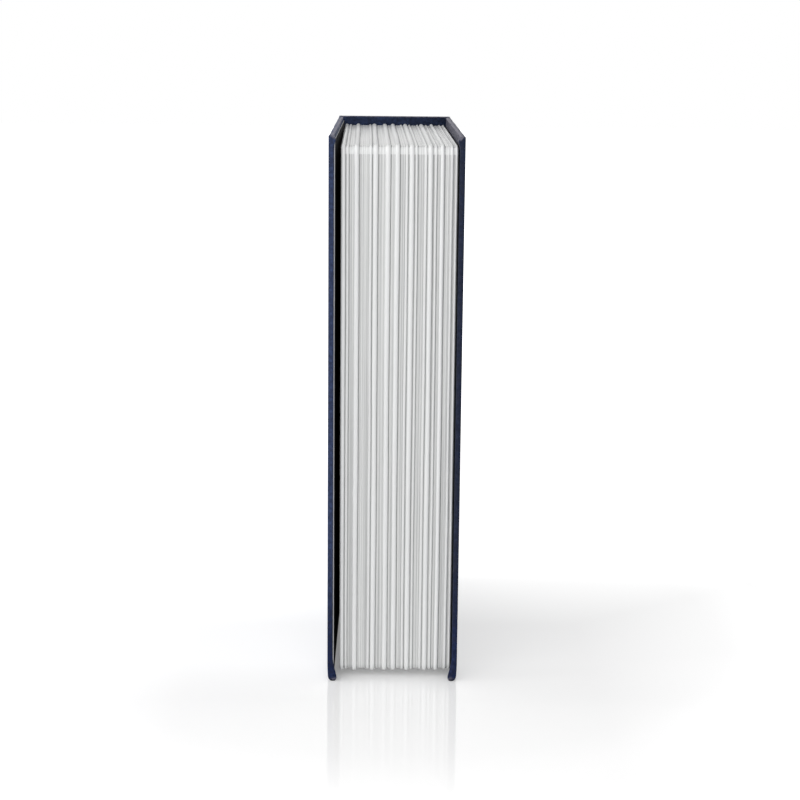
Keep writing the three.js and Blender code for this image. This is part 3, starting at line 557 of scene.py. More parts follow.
def build_cover():
    """The rows of points of the whole cover, and how much wear and painted light each point has."""
    ring = np.concatenate([strip_outer, strip_inner[::-1]])
    side = np.concatenate([strip_side, strip_side[::-1]])
    count = len(strip_side)
    inner_share = np.repeat([0.0, 1.0], count)
    thickness = np.linalg.norm(strip_outer - strip_inner, axis=1)
    thickness = np.minimum(thickness, np.roll(thickness, 1))
    rounded = FORE_STEPS + 1
    thickness[:rounded] = thickness[-rounded:] = COVER_THICK
    thickness = np.concatenate([thickness, thickness[::-1]])
    normals = ring_normals(ring)
    fore = ring[:, 1] - FORE_Y
    corner = np.where(side == 0, 0, np.clip(1 - fore / CORNER_REACH, 0, 1))
    plain = np.minimum(EDGE_RADIUS, THIN_SHARE * thickness)
    tail_radius = plain + (CORNER_RADIUS - plain) * corner
    at_inside, at_outside = plain + HEAD_WIDEN * corner, plain - HEAD_SHARPEN * corner
    head_radius = np.where(inner_share > 0, at_inside, at_outside)
    arc, levels = cover_rows()
    rows = []
    for angle in arc:
        inset = tail_radius * (1 - np.sin(angle))
        z = tail_radius * (1 + CORNER_STRETCH * corner) * (1 - np.cos(angle))
        rows.append((inset, z, np.full(2 * count, np.cos(angle))))
    rows += [(np.zeros(2 * count), np.full(2 * count, z), np.zeros(2 * count)) for z in levels]
    for angle in reversed(arc):
        inset, z = head_radius * (1 - np.sin(angle)), HEIGHT - head_radius * (1 - np.cos(angle))
        rows.append((inset, z, np.full(2 * count, np.cos(angle))))
    points, wear_and_light_marks = [], []
    across = np.where(side >= 0, (BACK_X - ring[:, 0]), (ring[:, 0] - FRONT_X)) / COVER_THICK
    across = np.clip(np.where(side == 0, 0, across), 0, 1.0)
    for inset, z, rounding in rows:
        flat = ring - normals * inset[:, None]
        from_end = np.minimum(z, HEIGHT - z)
        at_tail = z < HEIGHT / 2
        reach = np.where(at_tail, TAIL_FOLD_REACH, HEAD_FOLD_REACH)
        fold = bump(1 - np.hypot(fore / FOLD_ACROSS, from_end / reach)) * across ** 1.5
        lump = np.where(side == 0, 0, fold * np.where(at_tail, TAIL_FOLD, HEAD_FOLD))
        taper_share = np.clip(1 - z / TAPER_REACH, 0, 1) ** 2 * np.clip(1 - fore / TAPER_DEEP, 0, 1)
        lump += TAPER * taper_share
        deep_wave = np.sin(np.clip(fore, 0, WAVE_END) / WAVE_DEEP)
        wave = WAVE * np.sin(z / WAVE_UP + 1.3 * side) * deep_wave
        flat[:, 0] += -side * lump + np.abs(side) * wave
        headward = np.clip((z - HEIGHT + HEAD_BAND) / HEAD_BAND, 0, 1)
        slope = np.clip(1 - fore / DROP_REACH, 0, 1) ** 1.5 * across ** 1.2
        z = z - np.where(side == 0, 0, FOLD_DROP * slope * headward)
        z = z - headward * (HEAD_WAVE + HEAD_WAVE * np.sin(fore / HEAD_WAVE_RUN + 2 * side))
        points.append(np.column_stack([flat, z]))
        # Painted light on the back cover's turned-in cloth near the head; on the outer edges the
        # rounding's mark of wear and painted sheen drops to a quarter.
        near_head = np.clip((z - HEIGHT) / TURN_IN + 1, 0, 1) ** 0.5
        turn_in_wear_and_light = np.where(fore < FORE_BAND, FORE_WEAR, TURN_IN_LIGHT * near_head)
        turned_in = inner_share * (side > 0) * turn_in_wear_and_light
        kept_dark = (inner_share == 0) & (side != 0)
        rounding = np.where(kept_dark, OUTER_MARK_SHARE * rounding, rounding)
        wear_and_light_marks.append(np.clip(rounding + FORE_WEAR * (fore < FORE_RADIUS) + turned_in, 0, 1))
    return np.array(points), np.array(wear_and_light_marks)


rows, marks = build_cover()
print("rows and points in each:", rows.shape[:2], "most worn", marks.max().round(2))

# %% [markdown]
# The front cover stands a little open, as in the photograph, where the dark gap beside the block
# is a fifth narrower than the CAD cover leaves it. So every point is turned about the hinge by
# the splay, with a weight that goes from 0 on the spine to 1 on the front cover.

# %% Turn the front part and make the mesh
BEND_WAY = np.array([-1.0, -0.2])
BEND_START, BEND_END = 9.97, 10.29
SPLAY_SHARE = 0.8
front_low = np.array(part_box("front_cloth")[0]) / MM
SPLAY = SPLAY_SHARE * math.atan2(FRONT_X - front_low[0], hinge[1] - FORE_Y)


def splayed(points, weight=None):
    """Points in millimetres, turned open about the hinge by the weighted splay."""
    points = np.array(points, float)
    if weight is None:
        along = points[..., :2] @ BEND_WAY
        weight = bump((along - BEND_START) / (BEND_END - BEND_START))
    angle = -SPLAY * weight
    offset = points[..., :2] - hinge
    cos, sin = np.cos(angle), np.sin(angle)
    points[..., 0] = hinge[0] + cos * offset[..., 0] - sin * offset[..., 1]
    points[..., 1] = hinge[1] + sin * offset[..., 0] + cos * offset[..., 1]
    return points


ring_size = rows.shape[1]
rows = splayed(rows)
faces = ring_faces(ring_size, len(rows))
for start in (0, (len(rows) - 1) * ring_size):
    for index in range(ring_size // 2 - 1):
        inner = start + ring_size - 1 - index
        faces.append((start + index, start + index + 1, inner - 1, inner))
cover = mesh_object("cased_cover", rows.reshape(-1, 3), faces, leather)
mark(cover, "wear_and_light", marks.ravel())
outward(cover)
smooth(cover, 50)
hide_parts("case_cloth", "front_cloth", "front_board", "back_board", "spine_board")
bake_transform(cover)
print("cased cover:", len(cover.data.polygons), "faces, splay", round(math.degrees(SPLAY), 2))

# %% [markdown]
# ## Lining papers
# The lining of each cover is a card with two rounded corners, glued over the turned-in cloth.
# Its cut edge is what shows in the photograph as a thin pale line inside the front cover. The
# back one has a wider margin, because the photograph shows bare turned-in cloth beside the head
# of the block. A flat sheet would be enough, but only a card with thickness has an edge to show.

# %% Lining papers
FRONT_MARGIN, BACK_MARGIN, PAPER_CORNER, PAPER_THICK = 2.0, 4.6, 6.0, 0.5
PAPER_EDGE, GLUE = 0.06, 0.02


def paper_outline(margin, inset):
    """The outline in y and z, drawn in from the full sheet."""
    radius = PAPER_CORNER - inset
    lo = np.array([FORE_Y, 0]) + margin + inset
    far, top = JOINT_START_Y - inset, HEIGHT - margin - inset
    points = [(far, lo[1]), (far, top)]
    for centre_z, first in ((top - radius, 90), (lo[1] + radius, 180)):
        for angle in np.radians(np.linspace(first, first + 90, 13)):
            points.append((lo[0] + radius * (1 + math.cos(angle)), centre_z + radius * math.sin(angle)))
    return np.array(points)


def lining_paper(name, margin, glued_x, free_x):
    """A thin card between two places on x, its edges broken by a hair."""
    step = PAPER_EDGE * np.sign(free_x - glued_x)
    levels = [(glued_x, PAPER_EDGE), (glued_x + step, 0), (free_x - step, 0), (free_x, PAPER_EDGE)]
    rings = []
    for x, inset in levels:
        outline = paper_outline(margin, inset)
        rings.append(np.column_stack([np.full(len(outline), x), outline]))
    size, points = len(rings[0]), np.concatenate(rings)
    caps = [tuple(range(size)), tuple(range(len(points) - size, len(points)))]
    return mesh_object(name, points, ring_faces(size, len(rings)) + caps, paper)


back_glued, front_glued = BACK_X - COVER_THICK - GLUE, FRONT_X + COVER_THICK + GLUE
back_paper = lining_paper("back_lining_paper", BACK_MARGIN, back_glued, back_glued - PAPER_THICK)
front_paper = lining_paper("front_lining_paper", FRONT_MARGIN, front_glued, front_glued + PAPER_THICK)
coordinates = np.array([v.co for v in front_paper.data.vertices]) / MM
turned = splayed(coordinates, weight=1.0) * MM
front_paper.data.vertices.foreach_set("co", turned.ravel())
# The back paper's edge gets the dark tone of painted shade, the front one's edge its pale core.
for piece, body, node, core in (
    (back_paper, "root", "back_endpaper", 0.0), (front_paper, "front_cover", "front_endpaper", 1.0),
):
    outward(piece)
    mark(piece, "pale_cut_edge", [core] * len(piece.data.vertices))
    smooth(piece, 30)
    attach(piece, body)
    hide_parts(node)
print("front lining paper at x", round(front_paper.data.vertices[0].co.x / MM, 2))

# %% [markdown]
# ## The imitation pages
# The page block is one section, ribbed on the outside and flat inside, that runs along the head,
# round a rounded corner, down the fore-edge, round the other corner and back along the tail. A
# rule like that suits Geometry Nodes: the section is drawn once as a closed line, and the tree
# builds the path from its sizes and sweeps the section along it.

# %% Measures of the block
block_low, block_high = (np.array(corner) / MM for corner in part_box("page_block"))
RIB_CREST = 0.76
BLOCK_FRONT, BLOCK_BACK = block_low[0], block_high[0]
BLOCK_FORE, BLOCK_SPINE = block_low[1] + RIB_CREST, block_high[1]
BLOCK_TAIL, BLOCK_HEAD = block_low[2] + RIB_CREST, block_high[2] - RIB_CREST
BLOCK_CORNER, WALL, CORNER_STEPS = 3.6, 2.6, 12
# Place across the block from 0 at the front cover to 1 at the back, width and rise
RIBS = [(0.020, 1.7, 0.72), (0.056, 1.1, 0.42), (0.134, 2.1, 0.80), (0.255, 1.15, 0.45),
        (0.296, 2.1, 0.80), (0.402, 2.1, 0.80), (0.481, 2.1, 0.80), (0.561, 1.15, 0.45),
        (0.604, 2.1, 0.80), (0.646, 1.0, 0.42), (0.724, 1.15, 0.45), (0.766, 2.0, 0.80),
        (0.812, 1.0, 0.42), (0.868, 1.8, 0.78), (0.948, 1.1, 0.45), (0.986, 1.0, 0.45)]
PAGE_RIDGES = [0.166, 0.184, 0.202, 0.220, 0.337, 0.364, 0.440, 0.522, 0.540, 0.680, 0.698, 0.918]
RIDGE_WIDTH, RIDGE_RISE = 0.5, 0.12
GROOVE_WIDTH, GROOVE_DEPTH, LEFT_GROOVE = 0.36, 0.25, 0.25
SECTION_STEP = 0.1
print("block", (block_high - block_low).round(1), "mm,", len(RIBS), "ribs")

# %% The ribbed section
def section_height(x):
    """Height over the base surface at x: ribs, grooves beside them, and low page ridges."""
    width = BLOCK_BACK - BLOCK_FRONT
    rise, dip = np.zeros_like(x), np.zeros_like(x)
    for share, across, top in RIBS:
        centre = BLOCK_FRONT + share * width
        offset = (x - centre) / (across / 2)
        rise = np.maximum(rise, top * np.sqrt(np.clip(1 - offset ** 2, 0, 1)))
        beside = np.abs(np.abs(x - centre) - across / 2 - GROOVE_WIDTH / 2) / (GROOVE_WIDTH / 2)
        depth = np.where(x > centre, GROOVE_DEPTH, GROOVE_DEPTH * LEFT_GROOVE)
        dip = np.maximum(dip, depth * np.clip(1 - beside, 0, 1))
    for share in PAGE_RIDGES:
        offset = (x - BLOCK_FRONT - share * width) / (RIDGE_WIDTH / 2)
        rise = np.maximum(rise, RIDGE_RISE * np.clip(1 - offset ** 2, 0, 1))
    return np.where(rise > 0, rise, -dip)


section_x = np.linspace(BLOCK_FRONT, BLOCK_BACK, int((BLOCK_BACK - BLOCK_FRONT) / SECTION_STEP))
heights = section_height(section_x)
print("section points:", len(heights), "from", heights.min().round(2), "to", heights.max().round(2))

# %% [markdown]
# The tree has named inputs for the block's sizes. It places four corners on a line of points,
# turns them into a curve, rounds the two fore-edge corners, cuts the straights into short
# steps, and sweeps the section along it. The four points are, in order, spine and fore-edge at
# the head, then fore-edge and spine at the tail.

# %% A tree that sweeps the section
STRAIGHT_CUTS = 15.0


def new_tree(name, inputs, output):
    """An empty geometry tree with its named inputs, each with its kind, and its output."""
    tree = bpy.data.node_groups.new(name, "GeometryNodeTree")
    for socket, kind in inputs.items():
        tree.interface.new_socket(socket, in_out="INPUT", socket_type="NodeSocket" + kind)
    tree.interface.new_socket(output, in_out="OUTPUT", socket_type="NodeSocketGeometry")
    return tree


def sweep_tree():
    """A tree that sweeps a section round the block."""
    tree = new_tree("ribbed wall", {
        "Section": "Geometry", "Fore-edge": "Float", "Spine": "Float", "Tail": "Float",
        "Head": "Float", "Corner radius": "Float", "Finish": "Material",
    }, "Wall")
    given = add(tree, "NodeGroupInput").outputs
    index = add(tree, "GeometryNodeInputIndex")
    at_tail = add(tree, "FunctionNodeCompare", {
        2: index, 3: 1,
    }, data_type="INT", operation="GREATER_THAN")
    off_middle = calc(tree, "SUBTRACT", index, 1.5)
    distance = calc(tree, "ABSOLUTE", off_middle)
    at_spine = add(tree, "FunctionNodeCompare", {0: distance, 1: 1.0}, operation="GREATER_THAN")
    y = add(tree, "GeometryNodeSwitch", {
        "Switch": at_spine, "False": given["Fore-edge"], "True": given["Spine"],
    }, input_type="FLOAT")
    z = add(tree, "GeometryNodeSwitch", {
        "Switch": at_tail, "False": given["Head"], "True": given["Tail"],
    }, input_type="FLOAT")
    corner = add(tree, "ShaderNodeCombineXYZ", {"Y": y, "Z": z})
    line = add(tree, "GeometryNodeMeshLine", {"Count": 4})
    placed = add(tree, "GeometryNodeSetPosition", {"Geometry": line, "Position": corner})
    path = add(tree, "GeometryNodeMeshToCurve", {"Mesh": placed})
    rounded = add(tree, "GeometryNodeFilletCurve", {
        "Curve": path, "Radius": given["Corner radius"], "Count": CORNER_STEPS,
    }, mode="POLY")
    in_corner = calc(tree, "MODULO", index, CORNER_STEPS + 1.0)
    straight = add(tree, "FunctionNodeCompare", {0: in_corner, 1: 0.5}, operation="LESS_THAN")
    cuts = calc(tree, "MULTIPLY", straight, STRAIGHT_CUTS)
    stepped = add(tree, "GeometryNodeSubdivideCurve", {"Curve": rounded, "Cuts": cuts})
    section = add(tree, "GeometryNodeMeshToCurve", {"Mesh": given["Section"]})
    wall = add(tree, "GeometryNodeCurveToMesh", {
        "Curve": stepped, "Profile Curve": section, "Fill Caps": True,
    })
    real = add(tree, "GeometryNodeRealizeInstances", {"Geometry": wall})
    finished = add(tree, "GeometryNodeSetMaterial", {"Geometry": real, "Material": given["Finish"]})
    add(tree, "NodeGroupOutput", {"Wall": finished})
    return tree


ribbed_wall = sweep_tree()
print("the sweeping tree has", len(ribbed_wall.nodes), "nodes")

# %% [markdown]
# A tree could stay on its object as a modifier. Its result is taken as a plain mesh instead,
# because its points are still to be marked and moved one by one.

# %% Sweep the wall
def as_mesh(obj, name):
    """A plain mesh object of what an object makes. The object itself is removed."""
    bpy.context.view_layer.update()
    evaluated = obj.evaluated_get(bpy.context.evaluated_depsgraph_get())
    made = in_scene(name, bpy.data.meshes.new_from_object(evaluated))
    bpy.data.objects.remove(obj)
    return made


def run_tree(obj, tree, values):
    """Runs a tree on an object, with values for the tree's inputs."""
    modifier = obj.modifiers.new(tree.name, "NODES")
    modifier.node_group = tree
    for item in tree.interface.items_tree:
        if item.in_out == "INPUT" and item.name in values:
            modifier[item.identifier] = values[item.name]
    return as_mesh(obj, obj.name + "_made")


# The sweep's frame puts the section's x towards -X and its y inwards, so both are turned here
outside = np.column_stack([-section_x, -heights, np.zeros_like(heights)])
inside = [(-BLOCK_BACK, WALL, 0), (-BLOCK_FRONT, WALL, 0)]
loop = np.concatenate([outside, inside]) * MM
section_mesh = bpy.data.meshes.new("page_section")
section_mesh.from_pydata(loop.tolist(), [(i, (i + 1) % len(loop)) for i in range(len(loop))], [])
wall = run_tree(in_scene("page_section", section_mesh), ribbed_wall, {
    "Fore-edge": BLOCK_FORE * MM, "Spine": BLOCK_SPINE * MM, "Tail": BLOCK_TAIL * MM,
    "Head": BLOCK_HEAD * MM, "Corner radius": BLOCK_CORNER * MM, "Finish": plastic,
})
wall_points = np.array([v.co for v in wall.data.vertices]) / MM
print("wall spans", wall_points.min(0).round(2), wall_points.max(0).round(2), len(wall.data.polygons))

# %% [markdown]
# Each point of the wall is given its height above the base surface, which the plastic's colour
# turns into painted shade in the valleys and grooves. The rounded corner at the head gets a
# painted highlight, and the crests on the head get less of their painted light towards the
# fore-edge, as the photograph shows. The ribs are moved sideways by up to a tenth of a
# millimetre, as in a hand-cut mould.

# %% Mark the crests and loosen the ribs
CREST_FULL, CREST_CURVE = 0.55, 0.7
HEAD_START, HEAD_BLEND, HEAD_GREY = 0.85, 0.15, 0.72
CORNER_BLEND, CORNER_END, CORNER_LEAVE, CORNER_HIGHLIGHT = 0.12, 0.93, 0.1, 0.6
# Sideways moves: their size, their length along the rib, and how they change across the block
WANDERS, LEAN, EDGE_HOLD = [(0.07, 37, 5), (0.04, 13, 1)], 0.6, 2
x, y, z = wall_points.T
head_z, tail_z = BLOCK_HEAD - BLOCK_CORNER, BLOCK_TAIL + BLOCK_CORNER
before = np.minimum(y - (BLOCK_FORE + BLOCK_CORNER), 0)
stand = np.hypot(before, z - np.clip(z, tail_z, head_z)) - BLOCK_CORNER
# This mark sets the plastic's painted shade: full tone on crests, greyer in valleys, darkest in
# grooves.
crest = np.clip(stand / CREST_FULL, 0, 1) ** CREST_CURVE
climb = (z - head_z) / np.maximum(np.hypot(z - head_z, before), 0.1)
on_head = np.clip((climb - HEAD_START) / HEAD_BLEND, 0, 1)
to_spine = np.clip((y - BLOCK_FORE) / (BLOCK_SPINE - BLOCK_FORE), 0, 1)
# Crests on the head get less painted light towards the fore-edge, and grooves get painted shade.
crest *= 1 - HEAD_GREY * on_head * (1 - to_spine)
crest -= np.clip(-stand / GROOVE_DEPTH, 0, 1)
# The rounded corner at the head gets a painted highlight, which lifts its valleys and grooves.
leaving = np.clip((CORNER_END - climb) / CORNER_LEAVE, 0, 1)
crest += np.clip(climb / CORNER_BLEND, 0, 1) * leaving * CORNER_HIGHLIGHT * (1 - crest)
travel = z - LEAN * y
shift = sum(size * np.sin(travel / run + x / width) for size, run, width in WANDERS)
to_edge = np.minimum(x - BLOCK_FRONT, BLOCK_BACK - x)
wall_points[:, 0] += shift * np.clip(to_edge / EDGE_HOLD, 0, 1)
wall.data.vertices.foreach_set("co", (wall_points * MM).ravel())
mark(wall, "rib", crest)
print("marks from", crest.min().round(2), "to", crest.max().round(2), "move", shift.max().round(2))

# %% [markdown]
# ## Rim, collar and spine wall of the block
# Under the front cover the block has a flat rim, with a collar that stands round the steel box.
# Each is a flat outline with a hole, so a two-dimensional curve with a small bevel makes it. A
# boolean cut would leave a sharp edge, while a bevelled curve comes out rounded.

# %% Outlines with holes
PLAIN_CREST, QUARTER_POINTS = 0.8, 9


def rounded_outline(y0, y1, z0, z1, radii):
    """A closed outline with radii at the corners (y1, z1), (y0, z1), (y0, z0) and (y1, z0)."""
    corners = [(y1, z1, -1, -1), (y0, z1, 1, -1), (y0, z0, 1, 1), (y1, z0, -1, 1)]
    points = []
    for quarter, ((y, z, sy, sz), radius) in enumerate(zip(corners, radii)):
        for angle in np.radians(np.linspace(90 * quarter, 90 * quarter + 90, QUARTER_POINTS)):
            points.append((y + radius * (sy + math.cos(angle)),
                           z + radius * (sz + math.sin(angle))))
    return points


def plate_with_hole(name, outlines, x0, x1, bevel):
    """A plate between two places on x with rounded edges, from outlines in y and z."""
    curve = bpy.data.curves.new(name, "CURVE")
    curve.dimensions, curve.fill_mode = "2D", "BOTH"
    curve.extrude, curve.bevel_depth = ((x1 - x0) / 2 - bevel) * MM, bevel * MM
    curve.bevel_resolution, curve.offset = 2, -bevel * MM
    for outline in outlines:
        spline = curve.splines.new("POLY")
        spline.use_cyclic_u = True
        spline.points.add(len(outline) - 1)
        for point, (y, z) in zip(spline.points, outline):
            point.co = (y * MM, z * MM, 0, 1)
    made = as_mesh(in_scene(name + "_flat", curve), name)
    middle_x = (x0 + x1) / 2 * MM
    made.data.transform(Matrix(((0, 0, 1, middle_x), (1, 0, 0, 0), (0, 1, 0, 0), (0, 0, 0, 1))))
    made.data.materials.clear()
    made.data.materials.append(plastic)
    mark(made, "rib", [PLAIN_CREST] * len(made.data.vertices))
    return made


print("an outline has", len(rounded_outline(0, 2, 0, 2, [1] * 4)), "points")

# %% Rim, collar and spine wall
box_low, box_high = (np.array(corner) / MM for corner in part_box("box_body"))
hinge_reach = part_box("box_hinge_leaf")[1].y / MM
GAP, BOX_CORNER, COLLAR, COLLAR_START, COLLAR_DEEP, RIM = 0.5, 3.0, 1.2, 0.5, 7.0, 2.0
WALL_OVERLAP, SMALL_CORNER, HAIR = 0.08, 0.4, 0.02
RIM_SHORT, SPINE_SHORT, SPINE_END_SHORT = 0.1, 0.05, 0.2
RIM_BREAK, COLLAR_BREAK = 0.3, 0.2
inset = WALL - WALL_OVERLAP


def opening(grow):
    """The outline round the steel box and its hinge, larger by so much on each side."""
    low_z, high_z = box_low[2] - GAP - grow, box_high[2] + GAP + grow
    radii = [BOX_CORNER + GAP + grow] * 4
    return rounded_outline(box_low[1] - GAP - grow, hinge_reach + GAP + grow, low_z, high_z, radii)


rim_outline = rounded_outline(
    BLOCK_FORE + inset, BLOCK_SPINE - RIM_SHORT, BLOCK_TAIL + inset, BLOCK_HEAD - inset,
    [SMALL_CORNER, BLOCK_CORNER - inset, BLOCK_CORNER - inset, SMALL_CORNER],
)
spine_outline = rounded_outline(
    BLOCK_SPINE - WALL, BLOCK_SPINE - SPINE_SHORT,
    BLOCK_TAIL + SPINE_END_SHORT, BLOCK_HEAD - SPINE_END_SHORT, [SMALL_CORNER] * 4,
)
plates = [plate_with_hole(*plate) for plate in (
    ("rim", [rim_outline, opening(0)], BLOCK_FRONT, BLOCK_FRONT + RIM, RIM_BREAK),
    ("collar", [opening(COLLAR), opening(HAIR)],
     BLOCK_FRONT + COLLAR_START, BLOCK_FRONT + COLLAR_DEEP, COLLAR_BREAK),
    ("spine_wall", [spine_outline], BLOCK_FRONT + HAIR, BLOCK_BACK - HAIR, RIM_BREAK),
)]
print("plates:", [(plate.name, len(plate.data.polygons)) for plate in plates])

# %% [markdown]
# On the real book the page block is one moulding. Its parts here overlap by a hair, so they can
# be joined side by side into one object. A union would give the same look and a worse mesh.

# %% Join the block
block, parts = wall, [wall, *plates]
with bpy.context.temp_override(active_object=block, selected_editable_objects=parts):
    bpy.ops.object.join()
block.name = "page_block_moulding"
smooth(block, 40)
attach(block, "root")
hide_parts("page_block")
print("page block:", len(block.data.polygons), "faces")

# %% [markdown]
# ## Steel box, lid, hinge and lock
# These CAD shapes are right as they are. A copy of each is merged, its flat faces are cleared of
# the lines that triangles leave, and a bevel breaks its edges, as a folded or turned part has.

# %% Copies with broken edges
COPY_MERGE, FLAT_WITHIN, SHARP_FROM = 0.002 * MM, math.radians(1.5), 32


def finished_copy(name, node, material, body, break_width):
    """A copy of a CAD node with merged points and bevelled edges, in the node's place."""
    mesh = frame["nodes"][node].data.copy()
    mesh.name = name
    work = bmesh.new()
    work.from_mesh(mesh)
    bmesh.ops.remove_doubles(work, verts=work.verts, dist=COPY_MERGE)
    bmesh.ops.dissolve_limit(work, angle_limit=FLAT_WITHIN, verts=work.verts, edges=work.edges)
    work.to_mesh(mesh)
    work.free()
    mesh.materials.clear()
    mesh.materials.append(material)
    made = in_scene(name, mesh)
    bevel = made.modifiers.new("broken edges", "BEVEL")
    bevel.width, bevel.segments = break_width * MM, 2
    bevel.limit_method, bevel.angle_limit = "ANGLE", math.radians(SHARP_FROM)
    smooth(made, SHARP_FROM)
    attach(made, body)
    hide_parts(node)
    return made


COPIES = [
    ("steel_box", "box_body", powder, "root", "box_paint", 0.3),
    ("latch_angle", "latch_keeper", powder, "root", "box_paint", 0.2),
    ("box_leaf", "box_hinge_leaf", zinc, "root", "hinge_steel", 0.12),
    ("pin_of_hinge", "hinge_pin", zinc, "root", "hinge_steel", 0.12),
    ("steel_lid", "box_lid", powder, "lid", "box_paint", 0.3),
    ("lid_leaf", "lid_hinge_leaf", zinc, "lid", "hinge_steel", 0.12),
    ("lock_barrel", "lock_housing", chrome, "lid", "lock_chrome", 0.12),
    ("spring_washer", "lock_washer", zinc, "lid", "hinge_steel", 0.08),
    ("fixing_nut", "lock_nut", zinc, "lid", "hinge_steel", 0.15),
    ("key_plug", "lock_plug", chrome, "lock", "lock_chrome", 0.12),
    ("cam", "lock_cam", zinc, "lock", "hinge_steel", 0.15),
    ("screw_of_cam", "cam_screw", zinc, "lock", "hinge_steel", 0.15),
]
for name, node, material, body, slot, width in COPIES:
    made = finished_copy(name, node, material, body, width)
    print(name, len(made.data.polygons))

# %% [markdown]
# ## Rivets
# The rivets repeat, so one tree makes a domed rivet from its sizes and puts it on every point
# that it's given. Each group of four becomes one mesh on the body that it's fixed to.

# %% A tree that sets rivets
def rivet_tree():
    """A tree that puts a domed rivet on every point."""
    tree = new_tree("domed rivets", {
        "Places": "Geometry", "Head radius": "Float", "Head rise": "Float",
        "Shank radius": "Float", "Grip": "Float", "Tail radius": "Float",
        "Axis": "Vector", "Finish": "Material",
    }, "Rivets")
    given = add(tree, "NodeGroupInput").outputs
    ball = add(tree, "GeometryNodeMeshUVSphere", {"Segments": 24, "Rings": 10, "Radius": 1.0})
    head_scale, tail_scale = (add(tree, "ShaderNodeCombineXYZ", {
        "X": given[radius], "Y": given[radius], "Z": given["Head rise"],
    }) for radius in ("Head radius", "Tail radius"))
    half_grip, whole_grip = (calc(tree, "MULTIPLY", given["Grip"], share) for share in (-0.5, -1.0))
    shank_place, tail_place = (add(tree, "ShaderNodeCombineXYZ", {
        "Z": down,
    }) for down in (half_grip, whole_grip))
    rod = add(tree, "GeometryNodeMeshCylinder", {
        "Vertices": 16, "Radius": given["Shank radius"], "Depth": given["Grip"],
    })
    head = add(tree, "GeometryNodeTransform", {"Geometry": ball, "Scale": head_scale})
    shank = add(tree, "GeometryNodeTransform", {"Geometry": rod, "Translation": shank_place})
    tail = add(tree, "GeometryNodeTransform", {
        "Geometry": ball, "Translation": tail_place, "Scale": tail_scale,
    })
    rivet = add(tree, "GeometryNodeJoinGeometry")
    for part in (head, shank, tail):
        feed(rivet, {"Geometry": part})
    turned_to = add(tree, "FunctionNodeAlignRotationToVector", {"Vector": given["Axis"]}, axis="Z")
    placed = add(tree, "GeometryNodeInstanceOnPoints", {
        "Points": given["Places"], "Instance": rivet, "Rotation": turned_to,
    })
    real = add(tree, "GeometryNodeRealizeInstances", {"Geometry": placed})
    finished = add(tree, "GeometryNodeSetMaterial", {"Geometry": real, "Material": given["Finish"]})
    add(tree, "NodeGroupOutput", {"Rivets": finished})
    return tree


domed_rivets = rivet_tree()
print("the rivet tree has", len(domed_rivets.nodes), "nodes")

# %% Set the three groups of rivets
HEAD_RADIUS, HEAD_RISE, SHANK_RADIUS, TAIL_RADIUS, TAIL_RISE = 2.2, 0.7, 1.2, 1.55, 0.6


def rivet_group(name, nodes, axis, body):
    """Rivets in place of the CAD nodes, head towards the axis."""
    boxes = [[np.array(corner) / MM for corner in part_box(node)] for node in nodes]
    along = int(np.argmax(np.abs(axis)))
    sign = axis[along]
    places, grips = [], []
    for lo, hi in boxes:
        middle = (lo + hi) / 2
        crown, foot = (hi, lo) if sign > 0 else (lo, hi)
        seat = crown[along] - sign * HEAD_RISE
        grips.append(abs(seat - foot[along]) - TAIL_RISE)
        middle[along] = seat
        places.append(middle * MM)
    points = bpy.data.meshes.new(name + "_places")
    points.from_pydata([tuple(p) for p in places], [], [])
    made = run_tree(in_scene(name + "_places", points), domed_rivets, {
        "Head radius": HEAD_RADIUS * MM, "Head rise": HEAD_RISE * MM, "Shank radius": SHANK_RADIUS * MM,
        "Grip": grips[0] * MM, "Tail radius": TAIL_RADIUS * MM, "Axis": axis, "Finish": zinc,
    })
    made.name = name
    smooth(made, 40)
    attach(made, body)
    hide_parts(*nodes)
    return made


for name, stem, axis, body in (
    ("rivets_of_box", "box_rivet_", (-1.0, 0.0, 0.0), "root"),
    ("rivets_of_box_leaf", "box_leaf_rivet_", (0.0, 1.0, 0.0), "root"),
    ("rivets_of_lid_leaf", "lid_leaf_rivet_", (-1.0, 0.0, 0.0), "lid"),
):
    made = rivet_group(name, [f"{stem}{number}" for number in (1, 2, 3, 4)], axis, body)
    print(name, len(made.data.polygons), [round(d / MM, 2) for d in made.dimensions])

# %% [markdown]
# ## Floor, backdrop and light
# The studio is white, with a glossy white floor that mirrors the foot of the book and keeps its
# shadow. What the camera and mirrors see of the world is plain white, while the light that it
# sheds is weaker. A lamp high on the left throws the soft shadow to the right, and a large lamp
# in front lights the fore-edge evenly.

# %% World
world = bpy.data.worlds.new("white studio")
scene.world = world
world.use_nodes = True
tree = world.node_tree
rays = add(tree, "ShaderNodeLightPath")
seen = calc(tree, "MAXIMUM", rays.outputs["Is Camera Ray"], rays.outputs["Is Glossy Ray"])
seen_too = calc(tree, "MAXIMUM", seen, rays.outputs["Is Transmission Ray"])
SKY_LIGHT = 0.25
strength = ramp(tree, seen_too, first=SKY_LIGHT)
feed(tree.nodes["Background"], {"Color": (1, 1, 1, 1), "Strength": strength})
print("the world sheds", SKY_LIGHT, "of the white that the camera sees")

# %% Floor
FLOOR_HALF = 4.0
floor_mesh = bpy.data.meshes.new("floor")
corner_ways = [(-1, -1, 0), (1, -1, 0), (1, 1, 0), (-1, 1, 0)]
floor_mesh.from_pydata([FLOOR_HALF * Vector(way) for way in corner_ways], [], [(0, 1, 2, 3)])
floor = in_scene("floor", floor_mesh)
floor_material, tree, shader, coords = new_material("white acrylic sheet")
floor_mesh.materials.append(floor_material)
feed(shader, {"Base Color": "#f2f2f2", "Roughness": 0.06, "IOR": 1.7})
print("floor", 2 * FLOOR_HALF, "m wide")

